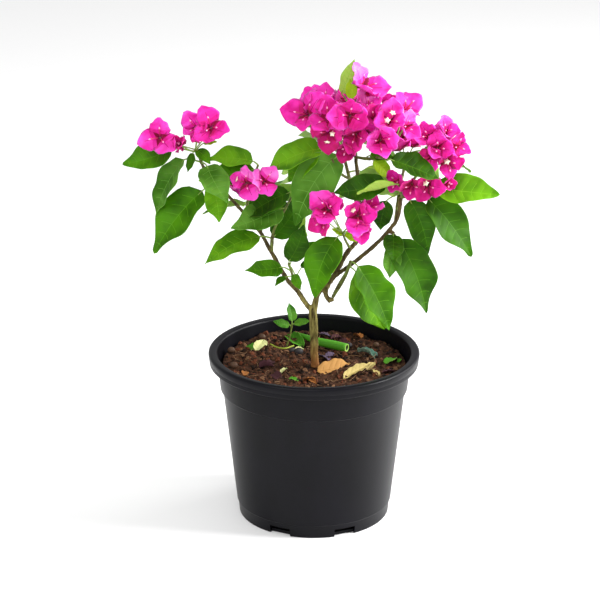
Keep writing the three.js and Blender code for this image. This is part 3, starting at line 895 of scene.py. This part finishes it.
bract = {
    "length": 26,
    "width": 0.92,
    "fold": 0.16,
    "veins": 4,
    "rowsPerVein": 3,
    "veinWidth": 0,
    "across": (0.025, 0.3, 0.58, 0.82, 1),
    "sweep": 0.18,
    "swell": 0.56, "taper": 0.64,
    "drip": 0.3,
    "quilt": 0.2,
    "thickness": 0.3,
    "wave": 0.07,
    "crinkle": 0.03,
    "sway": 0.14,
    "twist": 34,
    "opening": 50,  # degrees between a bract and its flower's axis
    "spread": 20,
    "perFlower": 3,
    "swing": 30,  # bracts stray round their flower within this many degrees
    "lengths": (0.88, 0.24),
    "curls": (-30, 50),
    "throat": 0.1, "deepRib": 0.3, "rib": 0.6, "shadedBase": 0.28,  # shares of the length up to which they reach; the throat and the deeper base of the blade are painted shade where the bracts meet
}
blade = {
    # what leaves and bracts have alike
    "ripples": (1.5, 1.5),  # waves along a margin
    "uneven": 0.05,  # how much the two halves differ in width
    "folds": (0.6, 0.8),
    "ribWidth": 0.05,  # share of the half blade
    "groove": 0.25,  # depth of the rib's groove on the upper side
    "keel": 0.35,  # and height of the rib under it, at the stalk end
    "fullQuilt": 45,  # blades shorter than this have lower puckers
}
floret = {
    "reach": (0.42, 0.12),  # shares of the bract's length
    "open": 0.05,  # share of the florets that are open without being listed
    "starRadius": 3.2,
    "starNotch": 0.62,
    "starRays": 5,
}
facing = {"out": 0.66, "up": 0.75}  # how far a shoot turns outwards and to the sky
leafFan = 230  # a shoot's own leaves spread over this many degrees about the way it faces
scattered = {
    # for the rows that are drawn by a shoot's seed
    "leafStep": 0.382,  # share of the fan between one leaf and the next
    "leafStray": 30,
    "leafStalks": (8, 8),
    "leafRises": (-35, 60),
    "leafLengths": (42, 24),
    "flowerStep": 137.5,  # degrees between one flower and the next
    "flowerStray": 40,
    "flowerRises": (-5, 70),
    "flowerReaches": (10, 16),
}


def bladeTemplate(shape):
    # a blade laid flat, upper and under side, between which the margin is shared: for each vertex its
    # share along and across, its side and its pucker
    across = shape["across"]
    columns = [-v for v in reversed(across)] + list(across)
    shares, lifts, isVein = [], [], []
    for vein in range(shape["veins"]):
        for step in range(shape["rowsPerVein"]):
            share = (vein + step / shape["rowsPerVein"]) / shape["veins"]
            shares.append(share + (shape["veinWidth"] / 2 if step == 0 else 0))
            lifts.append(-1 if step == 0 else math.sin(math.pi * step / shape["rowsPerVein"]))
            isVein.append(False)
            if step == 0 and vein and shape["veinWidth"]:
                shares.insert(-1, share - shape["veinWidth"] / 2)
                lifts.insert(-1, -1)
                isVein[-1:] = [True, False]
    rows = len(shares)
    most = shape["swell"] / (shape["swell"] + shape["taper"])  # where the blade is widest
    peak = most ** shape["swell"] * (1 - most) ** shape["taper"]
    along, aside, layer, pucker = [0, 1], [0, 0], [0, 0], [0, 0]
    upper, under = {}, {}
    for i in range(1, rows):
        base = shares[i]
        for k, v in enumerate(columns):
            swept = base + shape["sweep"] * abs(v) ** 1.2 * (1 - base) * min(1, base / 0.25)
            lift = lifts[i] * math.sin(math.pi * min(1, abs(v))) * (abs(v) > across[0])
            for side, index in ((1, upper), (-1, under)):
                if side < 0 and abs(v) == 1:
                    under[i, k] = upper[i, k]
                    continue
                index[i, k] = len(along)
                along.append(swept)
                aside.append(v)
                layer.append(0 if abs(v) == 1 else side)
                pucker.append(lift)
    faces, zones = [], []
    last = len(columns) - 1
    for side, index in ((1, upper), (-1, under)):
        for i in range(rows):
            for k in range(last):
                a = index[i, k] if i else 0
                b = index[i, k + 1] if i else 0
                c = index[i + 1, k + 1] if i + 1 < rows else 1
                d = index[i + 1, k] if i + 1 < rows else 1
                face = [a, d, c, b] if side > 0 else [a, b, c, d]
                faces.append(list(dict.fromkeys(face)))
                middle = abs(columns[k] + columns[k + 1]) / 2
                zone = "rib" if middle < across[0] or isVein[i] and middle < 0.7 else "blade"
                if middle > 0.97 and shape["veinWidth"]:
                    zone = "margin"
                zones.append((side, zone, shares[i]))
    along, aside = np.array(along, float), np.array(aside, float)
    inside = np.clip(along, 0, 1)
    tipward = np.clip((along - 0.6) / 0.35, 0, 1)
    drawnIn = 1 - shape["drip"] * tipward ** 2 * (3 - 2 * tipward)
    reach = np.where(
        (along <= 0) | (along >= 1), 0,
        inside ** shape["swell"] * (1 - inside) ** shape["taper"] / peak * drawnIn,
    )
    return {
        "along": along, "aside": aside, "reach": reach, "layer": np.array(layer, float),
        "pucker": np.array(pucker, float), "faces": faces, "zones": zones,
    }


def bendBlade(template, shape, root, along, face, length, width, curl, fine):
    # the flat blade bent down along its length, folded up along its rib and rippled at its margin
    s, v, reach = template["along"], template["aside"], template["reach"]
    side = along.cross(face)
    sway = shape["sway"] * length * (fine() - 0.5)
    bend = math.radians(curl)
    out = length * np.sin(bend * s) / bend
    down = -length * (1 - np.cos(bend * s)) / bend
    fullTurn = 6.3  # in radians, near enough
    phase = fullTurn * fine()
    ripples = spread(blade["ripples"], fine())
    twist = math.radians(shape["twist"] * (fine() - 0.5))
    uneven = 1 + blade["uneven"] * np.sin(9 * s + phase) * np.sign(v)
    half = length * width * reach * uneven / 2
    lift = half * shape["fold"] * spread(blade["folds"], fine()) * np.abs(v) ** 1.4
    isOpen = reach > 0
    waves = np.sin(fullTurn * ripples * s + phase + 1.3 * np.sign(v))
    lift += shape["wave"] * length * waves * v ** 2 * isOpen
    lift += shape["crinkle"] * length * np.sin(29 * s + 5 * v + phase) * np.abs(v) ** 3 * isOpen
    lift += shape["quilt"] * template["pucker"] * min(1, length / blade["fullQuilt"])
    lift += half * v * np.sin(twist * s)
    onRib = np.exp(-(v / blade["ribWidth"]) ** 2)
    lift += template["layer"] * shape["thickness"] / 2 - blade["groove"] * onRib * (template["layer"] > 0)
    lift -= blade["keel"] * onRib * (template["layer"] < 0) * (1 - s)
    normalAlong, normalFace = np.sin(bend * s), np.cos(bend * s)
    alongs = (out + lift * normalAlong)[:, None] * np.array(along)
    faces = (down + lift * normalFace)[:, None] * np.array(face)
    aside = half * v + sway * (3 * s ** 2 - 2 * s)
    return np.array(root) + alongs + faces + aside[:, None] * np.array(side)


def faceToLight(along, light, roll):
    return turned((light - along * light.dot(along)).normalized(), along, roll)


leafTones = {
    # two greens of the upper side, the under side, rib and margin
    "deep": ("#1f3f02", "#335f04", "#6f8f3a", "#44700f"),
    "mid": ("#2c5602", "#457a04", "#7da040", "#558a14"),
    "bright": ("#3d6c04", "#609410", "#96b34c", "#6fa11f"),
    "grey": ("#315c0a", "#56842a", "#8aa856", "#64923a"),
    "young": ("#729a10", "#96b41c", "#a8bf42", "#a0ba34"),
    "sprout": ("#2f5f14", "#4f7f24", "#7f9c50", "#5e8c34"),
}
bractTones = [
    # two close colours of the papery bract, from the palest to the deepest, then of its rib and of its
    # throat, whose deep crimson is painted shade
    ("paleBract", "#e046ae", "#ec74cc"),
    ("pinkBract", "#d82290", "#e844b4"),
    ("magentaBract", "#c41276", "#dc2898"),
    ("deepBract", "#b00c5c", "#d41e84"),
    ("wineBract", "#8e083c", "#b41460"),
    ("bractRib", "#a00e50", "#a81258"),
    ("bractThroatShade", "#7c0630", "#860834"),
]
rib, throat = len(bractTones) - 2, len(bractTones) - 1
blushes = {
    # the tones that a flower's bracts are dealt
    "usual": (1, 2, 2),
    "pale": (0, 1, 1),
    "deep": (2, 3, 3),
    "wine": (3, 3, 4),
}

leafTemplate = bladeTemplate(leaf)
bractTemplate = bladeTemplate(bract)
leaves, petioles, twigs, bracts, florets = (newPile() for _ in range(5))
grownPiles = (leaves, petioles, bracts, florets)


def sortRow(row):
    # the row's numbers, and its words
    words = [value for value in row if isinstance(value, str)]
    return [value for value in row if not isinstance(value, str)], words


def bladeSlots(first):
    # material slots of a leaf's faces: upper side, under side, and rib with margin
    zones = leafTemplate["zones"]
    return [first + (2 if zone != "blade" else 0 if side > 0 else 1) for side, zone, _ in zones]


def addLeaf(path, light, draw, fine, row):
    numbers, words = sortRow(row)
    tone = words[0] if words else pickTone(fine, row[4])
    numbers += [leaf["petioleLift"], None][len(numbers) - 5:]  # what the row leaves out
    place, stalk, bearing, rise, length, lift, roll = numbers
    start = curvePoint(path, place)
    along = heading(bearing, rise)
    root = start + heading(bearing, rise + lift) * stalk
    chance = (draw() - 0.5) * leaf["roll"]
    face = faceToLight(along, light, chance if roll is None else roll)
    curl = spread(leaf["curls"], draw())
    width = leaf["width"] * spread(leaf["widths"], draw())
    points = bendBlade(leafTemplate, leaf, root, along, face, length, width, curl, fine)
    addPart(leaves, points, leafTemplate["faces"], bladeSlots(3 * list(leafTones).index(tone)))
    under = root + along * (length * 0.1) - face * 0.5
    elbow = start.lerp(root, 0.6) + Vector((0, 0, stalk * 0.06))
    radius = leaf["stalkRadius"] * spread(leaf["stalks"], min(1, length / leaf["fullStalk"]))

    def radiusAt(share, _):
        return radius * (1.25 - 0.45 * share) if share < 0.95 else radius * 0.5

    addTube(petioles, [start, elbow, root, under], radiusAt, 6, 9, 0)


def pickTone(fine, length):
    # short leaves are young, and the others are dealt the greens of full-grown ones
    choice = fine()
    if length < leaf["youngBelow"]:
        return "young" if choice < 0.7 else "bright"
    return "mid" if choice < 0.42 else "bright" if choice < 0.66 else "deep" if choice < 0.84 else "grey"


def addFlower(path, light, draw, fine, row):
    numbers, words = sortRow(row)
    blush = next((blushes[word] for word in words if word in blushes), None)
    numbers += [bract["length"], None, bract["opening"]][len(numbers) - 4:]  # what the row leaves out
    place, bearing, rise, reach, size, turn, opening, *look = numbers
    start = curvePoint(path, place)
    out = heading(bearing, rise)
    eye = start + out * reach
    axis = heading(*look) if look else (out + light).normalized()
    sag = start.lerp(eye, 0.5) + Vector((0, 0, -0.8))
    addTube(petioles, [start, sag, eye], lambda share, _: 0.6, 6, 6, 0)
    chance = 360 * draw()
    first = faceToLight(axis, Vector((0, 0, 1)), chance if turn is None else turn)
    for i in range(bract["perFlower"]):
        spoke = turned(first, axis, i * 360 / bract["perFlower"] + bract["swing"] * (draw() - 0.5))
        leaning = math.radians(opening + bract["spread"] * (draw() - 0.5))
        along = axis * math.cos(leaning) + spoke * math.sin(leaning)
        face = axis * math.sin(leaning) - spoke * math.cos(leaning)
        length = size * spread(bract["lengths"], draw())
        curl = spread(bract["curls"], draw()) or 1
        chosen = blush or blushes["usual"]
        tone = chosen[int(len(chosen) * fine())]
        points = bendBlade(bractTemplate, bract, eye, along, face, length, bract["width"], curl, fine)
        # near the eye the throat and a deeper tone are painted shade in the heart of the flower
        slots = [
            throat if share < bract["throat"] or zone == "rib" and share < bract["deepRib"]
            else rib if zone == "rib" and share < bract["rib"]
            else tone + 1 if share < bract["shadedBase"] else tone
            for _, zone, share in bractTemplate["zones"]
        ]
        addPart(bracts, points, bractTemplate["faces"], slots)
        addFloret(eye, along, face, length, fine, "star" in words and i < 2)


def addFloret(eye, along, face, length, fine, isOpen):
    # a slender tube that stands on the bract's rib, shut like a bud or open in a cream star
    reach = length * spread(floret["reach"], fine())
    base = eye + along * (length * 0.1)
    tip = eye + along * reach + face * (length * 0.2)
    bow = base.lerp(tip, 0.5) + face * 1.2

    def radiusAt(share, _):
        return 0.8 - 0.35 * math.sin(math.pi * share * 0.75) + 0.3 * share ** 3

    addTube(florets, [base, bow, tip], radiusAt, 6, 6, 0)
    axis = (tip - bow).normalized()
    if isOpen or fine() < floret["open"]:
        addStar(tip + axis * 0.8, axis, floret["starRadius"])
    else:
        bud = [tip, tip + axis * 1.0, tip + axis * 1.8]
        addTube(florets, bud, lambda share, _: 0.85 - 0.5 * share, 6, 3, 1)


def addStar(centre, axis, radius):
    side = axis.orthogonal().normalized()
    points = [centre + axis * 0.1, centre - axis * 0.8]
    corners = 2 * floret["starRays"]
    for k in range(corners):
        spoke = turned(side, axis, 360 / corners * k)
        points.append(centre + spoke * radius * (1 if k % 2 == 0 else floret["starNotch"]) + axis * 0.5)
    faces = []
    for k in range(corners):
        a, b = 2 + k, 2 + (k + 1) % corners
        faces += [[0, a, b], [1, b, a]]
    addPart(florets, points, faces, [2] * len(faces))


def scatteredLeaves(count, faces, draw):
    # leaf rows drawn by the shoot's seed, fanned about the way that it faces
    rows = []
    for i in range(count):
        place = 0.2 + 0.8 * (i + draw()) / count
        stalk = spread(scattered["leafStalks"], draw())
        bearing = faces + leafFan * ((scattered["leafStep"] * i) % 1 - 0.5) + scattered["leafStray"] * draw()
        rise = spread(scattered["leafRises"], draw())
        rows.append([place, stalk, bearing, rise, spread(scattered["leafLengths"], draw())])
    return rows


def scatteredFlowers(count, faces, draw):
    # flower rows drawn by the same seed, set all round the twig's outer part
    rows = []
    for i in range(count):
        place = 0.7 + 0.3 * (i + 1) / count
        bearing = faces + scattered["flowerStep"] * i + scattered["flowerStray"] * draw()
        rise = spread(scattered["flowerRises"], draw())
        rows.append([place, bearing, rise, spread(scattered["flowerReaches"], draw())])
    return rows


def marks():
    # how full each pile of the leaves and the blossom is
    return [(len(pile["points"]), len(pile["faces"]), pile["count"]) for pile in grownPiles]


def treeSince(start):
    # what has been added to the piles since the marks, ready to be tested for touching
    points, faces = [], []
    for pile, (parts, firstFace, firstPoint) in zip(grownPiles, start):
        shift = len(points) - firstPoint
        points += [Vector(point) for part in pile["points"][parts:] for point in part]
        faces += [[i + shift for i in face] for face in pile["faces"][firstFace:]]
    return BVHTree.FromPolygons(points, faces)


def takeBack(start):
    # empties the piles again as far as the marks
    for pile, (parts, firstFace, firstPoint) in zip(grownPiles, start):
        del pile["points"][parts:], pile["faces"][firstFace:], pile["slots"][firstFace:]
        pile["count"] = firstPoint


def woodTree():
    # trunk and boughs, ready to be tested for touching
    wood = newPile()
    for limb in (trunk, *boughs.values()):
        base, tip = limb["radii"]
        addTube(wood, vectors(limb["path"]), lambda share, _: base + (tip - base) * share, 8, 20, 0)
    return BVHTree.FromPolygons([Vector(point) for part in wood["points"] for point in part], wood["faces"])


def growShoot(shoot, others):
    start = marks()
    draw, fine = seeded(shoot["seed"]), seeded(shoot["seed"] + 500)
    light = (heading(shoot["faces"], 0) * facing["out"] + Vector((0, 0, facing["up"]))).normalized()
    for twig in shoot["twigs"]:
        path = vectors(twig["path"])
        base, tip = twig["radii"]
        moreLeaves = scatteredLeaves(twig.get("moreLeaves", 0), shoot["faces"], draw)
        moreFlowers = scatteredFlowers(twig.get("moreFlowers", 0), shoot["faces"], draw)
        rows = [(addLeaf, row) for row in twig.get("leaves", [])]
        rows += [(addFlower, row) for row in twig.get("flowers", [])]
        listed = len(rows)
        rows += [(addLeaf, row) for row in moreLeaves]
        rows += [(addFlower, row) for row in moreFlowers]
        joints = [row[0] for _, row in rows]

        def radiusAt(share, _):
            knot = sum(math.exp(-((share - joint) / 0.035) ** 2) for joint in joints)
            swelling = twig.get("belly", 0) * math.sin(math.pi * share) ** 2
            return base + (tip - base) * share + 0.35 * min(1, knot) + swelling

        addTube(twigs, path, radiusAt, 8, 14 * (len(path) - 1), 0)
        for i, (add, row) in enumerate(rows):
            before = marks()
            add(path, light, draw, fine, row)
            if i >= listed and any(other.overlap(treeSince(before)) for other in others):
                takeBack(before)  # it would cross a leaf, a flower or wood that is there already
    return treeSince(start)


def makeShoots():
    grown = [woodTree()]
    for shoot in shoots.values():
        grown.append(growShoot(shoot, grown))
    leafMaterials = []
    for name, (shade, lit, under, ribTone) in leafTones.items():
        # a waxy living leaf: soft gloss above, duller and paler beneath, and light glows through it
        glow = {"Subsurface_Weight": 0.2, "Subsurface_Scale": 0.002, "Subsurface_Radius": (0.5, 1, 0.1)}
        above = newMaterial(name + "Leaf", lit, 0.55, Specular_IOR_Level=0.09, **glow)
        mottle(above, (shade, lit), 24, contrast=(0.36, 0.62), detail=2)
        leafMaterials += [
            above,
            newMaterial(name + "Under", under, 0.65, Specular_IOR_Level=0.1, **glow),
            newMaterial(name + "Rib", ribTone, 0.55, Specular_IOR_Level=0.12, **glow),
        ]
    names = list(shoots)
    pieceFromPile("leaves", leaves, leafMaterials, names)
    # a young stem: faintly glossy, in small patches of green and brown
    green = newMaterial("greenTwig", "#5d6b2c", 0.6, Specular_IOR_Level=0.3)
    mottle(green, ("#4a4220", "#6f7f36"), 4, contrast=(0.35, 0.65))
    pieceFromPile("twigs", twigs, [green], names)
    # a leaf stalk: pale green with a soft gloss
    stalk = newMaterial("leafStalk", "#7f9c42", 0.55, Specular_IOR_Level=0.35)
    pieceFromPile("leaf_stalks", petioles, [stalk], names)
    papery = []
    for name, dark, light in bractTones:
        # a thin papery bract: hardly any gloss, light glows through it, and its colour varies softly
        papery.append(newMaterial(
            name, light, 0.6, Specular_IOR_Level=0.1, Subsurface_Weight=0.3, Subsurface_Scale=0.003,
            Subsurface_Radius=(1, 0.3, 0.8), Sheen_Weight=0.08, Sheen_Roughness=0.5,
        ))
        mottle(papery[-1], (dark, light), 13, contrast=(0.38, 0.6), detail=2)
    pieceFromPile("bracts", bracts, papery, names)
    # a living floret: a dull rose tube, a paler bud and a cream star
    tube = newMaterial("floretTube", "#c22a62", 0.5)
    bud = newMaterial("floretBud", "#f29ac6", 0.5)
    cream = newMaterial("creamStar", "#fff6dc", 0.5)
    pieceFromPile("florets", florets, [tube, bud, cream], names)


makeShoots()
print("leaves and blossom grown")


# Litter on the soil: fallen leaves and bracts, a cut stem, pebbles and fibres

litterTones = {
    # upper side, under side and rib
    "tan": ("#a67a44", "#926a38", "#6d4c24"),
    "straw": ("#a8975f", "#968350", "#7e6b42"),
    "cream": ("#bfbf86", "#a9ae74", "#9aa368"),
    "fresh": ("#3f7a18", "#5f9430", "#74a242"),
    "teal": ("#46665a", "#728b78", "#7d937f"),
    "plum": ("#44272b", "#5b3940", "#341d21"),
    "lilac": ("#54475a", "#665a6a", "#403544"),
    "rust": ("#8f5a2c", "#784a26", "#5c3419"),
}
fallen = [
    # where the stalk end lies, bearing, rise, length, width as a share of it, curl, fold, roll and tone
    [2.6, -12, 15, 9, 41, 0.46, 24, 0.3, 28, "tan"],
    [27, -36, 45, 5, 38, 0.25, -12, 0.7, 20, "straw"],
    [50, -17, 55, 28, 15, 0.5, 30, 0.5, 10, "straw"],
    [53, -20, -52, 12, 17, 0.4, 45, 0.6, -20, "straw"],
    [-9.7, 50.4, 128, 16, 34, 0.36, 30, 0.9, -25, "fresh"],
    [-19, 44, 2, 6, 10, 0.5, 10, 0.6, 0, "cream"],
    [-56, 27, 52, 38, 16, 0.6, 40, 0.6, 20, "cream"],
    [-45, 44, 190, 34, 12, 0.6, 100, 0.6, -30, "cream"],
    [-62.6, 42, 300, 10, 15, 0.6, 30, 0.3, 20, "fresh"],
    [-54, 33, 150, 20, 12, 0.6, 40, 0.4, -30, "fresh"],
    [-52, -11, 8, 22, 15, 0.8, 40, 0.6, -30, "plum"],
    [-43, -4, 70, 12, 11, 0.7, 30, 0.4, 10, "plum"],
    [-38.6, -23.6, 293, 12, 18, 0.5, 30, 0.6, 30, "plum"],
    [5, 29, 315, 16, 16, 0.8, 40, 0.5, -20, "lilac"],
    [11, 26, 10, 20, 11, 0.7, 40, 0.5, 10, "lilac"],
    [17, 68, 20, 15, 12, 0.7, 30, 0.5, 0, "plum"],
    [24, 59, 330, 15, 11, 0.7, 30, 0.5, 15, "plum"],
    [5, 75, 350, 10, 12, 0.6, 30, 0.5, -15, "lilac"],
    [42, 31, 330, 32, 29, 0.3, 95, 0.7, -20, "teal"],
    [68, 0, 42, 26, 15, 0.9, 40, 0.4, -10, "fresh"],
    [80, 4, 70, 20, 8, 0.5, 30, 0.4, 0, "fresh"],
    [-11, -47, 18, 30, 12, 0.7, 40, 0.5, -30, "rust"],
    [-5, -38, 300, 10, 12, 0.5, 40, 0.5, 20, "rust"],
    [-31, -25, 60, 22, 11, 0.5, 30, 0.6, -20, "cream"],
    [-24, -43, 340, 10, 11, 0.5, 40, 0.5, 0, "fresh"],
    [64, -24, 25, 12, 15, 0.4, 30, 0.7, -20, "plum"],
    [-30, 66, 200, 10, 14, 0.6, 30, 0.5, 20, "plum"],
    [46, 62, 120, 10, 13, 0.6, 30, 0.5, 20, "rust"],
    [-66, -34, 80, 10, 12, 0.6, 30, 0.5, 20, "rust"],
]
pebbles = [
    # where it lies, radius, and grey (0) or brown (1)
    [-14.5, 29.5, 4.2, 0], [-20.5, 31, 3.4, 0], [-79, 25, 3.6, 1], [-76, -8, 4, 1], [34, 52, 3.2, 0],
    [-50, 60, 3.5, 1], [60, 44, 3, 1],
]
cutStem = {
    "path": [
        (31.7, 34.4, 151.4), (18, 42.5, 151.6), (4.8, 50.5, 151.6), (-3, 58.5, 151.4), (-17.6, 75.6, 151),
    ],
    "radii": (4.1, 1),
    "hollow": 0.62,  # share of the radius
    "depth": 8,
    "drawnFrom": 0.55,  # share of the length from which it is drawn to a point
}
vine = [(-42, 47, 150.5), (-36, 40, 150), (-27.7, 36.2, 150.2), (-19.3, 44.1, 150)]
fibre = {
    "count": 70,
    "reach": 80,  # they start within this distance of the trunk
    "lengths": (6, 12),
    "clearOfTrunk": 8,
    "clearOfWall": 3,
}
litterSeed = 83


def addFallen(pile, draw, row):
    numbers, words = sortRow(row)
    x, y, bearing, rise, length, width, curl, fold, roll = numbers
    form = dict(leaf, fold=fold, wave=0.02, crinkle=0.02, sway=0.1, twist=20)
    root = Vector((x, y, soilHeight(x, y) + 1.2))
    along = heading(bearing, rise)
    face = faceToLight(along, Vector((0, 0, 1)), roll)
    points = bendBlade(leafTemplate, form, root, along, face, length, width, curl, draw)
    addPart(pile, points, leafTemplate["faces"], bladeSlots(3 * list(litterTones).index(words[0])))


def addCutStem(pile, slots):
    # a hollow green stem, drawn to a point at one end and cut square at the other
    path, (base, tip) = vectors(cutStem["path"]), cutStem["radii"]
    sides, rings = 24, 24
    inside = path[0] + (path[1] - path[0]).normalized() * cutStem["depth"]
    places = [(inside, 0), (inside, base * cutStem["hollow"]), (path[0], base * cutStem["hollow"])]
    places += [(path[0], base * 0.94)]
    for i in range(rings + 1):
        share = i / rings
        drawn = max(0, (share - cutStem["drawnFrom"]) / (1 - cutStem["drawnFrom"]))
        thick = base + (tip - base) * drawn ** 1.3
        places.append((curvePoint(path, share), thick * (1 + 0.05 * math.sin(9 * share))))
    places.append((path[-1] + (path[-1] - path[-2]).normalized(), 0))
    up = Vector((0, 0, 1))
    across = (path[1] - path[0]).cross(up).normalized()
    points, faces, tones = [], [], []
    for centre, radius in places:
        for k in range(sides):
            angle = 2 * math.pi * k / sides
            points.append(centre + (across * math.cos(angle) + up * math.sin(angle)) * radius)
    for i in range(len(places) - 1):
        for k in range(sides):
            a, b = i * sides + k, i * sides + (k + 1) % sides
            faces.append([a, b, b + sides, a + sides])
            # the hollow's floor and inner wall are dark green: painted shade inside it
            tones.append(slots[0] if i < 2 else slots[1] if i == 2 else slots[2])
    addPart(pile, points, faces, tones)


def makeLitter():
    pile, draw = newPile(), seeded(litterSeed)
    for row in fallen:
        addFallen(pile, draw, row)
    materials = []
    for name, tones in litterTones.items():
        for part, colour in zip(("Top", "Under", "Rib"), tones):
            # a fallen leaf or bract, fresh or dry: dull and papery
            materials.append(newMaterial(name + "Litter" + part, colour, 0.75, Specular_IOR_Level=0.15))
    first = len(materials)
    # damp plant litter and stones of a few millimetres: dull, with little gloss
    extras = [
        # the stem's hollow is dark green as painted shade
        ("stemHollowShade", "#20380c"), ("stemCutFace", "#93b552"), ("stemSkin", "#468a1a"), ("fibre", "#6f5237"),
        ("yellowStem", "#838f2c"), ("greyPebble", "#2a2729"), ("brownPebble", "#4a3425"),
    ]
    materials += [newMaterial(name, colour, 0.6, Specular_IOR_Level=0.25) for name, colour in extras]
    addCutStem(pile, (first, first + 1, first + 2))
    addTube(pile, vectors(vine), lambda share, _: 0.8, 8, 16, first + 4)
    for _ in range(fibre["count"]):
        away, angle, turn = fibre["reach"] * math.sqrt(draw()), 360 * draw(), 360 * draw()
        foot = heading(angle, 0) * away
        length = spread(fibre["lengths"], draw())
        steps = [foot, foot + heading(turn, 0) * length / 2, foot + heading(turn + 50 * draw(), 0) * length]
        path = [Vector((p.x, p.y, soilHeight(p.x, p.y) + 0.9 + 2 * draw())) for p in steps]
        isInPot = max(p.xy.length for p in path) < soil["radius"] - fibre["clearOfWall"]
        if isInPot and away > fibre["clearOfTrunk"]:
            addTube(pile, path, lambda share, _: 0.38 - 0.2 * share, 4, 6, first + 3)
    for x, y, radius, tone in pebbles:
        centre = Vector((x, y, soilHeight(x, y) + radius * 0.5))
        path = [centre - Vector((radius, 0, 0)), centre, centre + Vector((radius, 0.4, 0))]

        def radiusAt(share, _):
            return radius * 0.86 * math.sqrt(max(0.02, 1 - (2 * share - 1) ** 2))  # round, a little flat

        addTube(pile, path, radiusAt, 14, 10, first + 5 + tone)
    pieceFromPile("soil_litter", pile, materials)


makeLitter()
print("litter strewn")
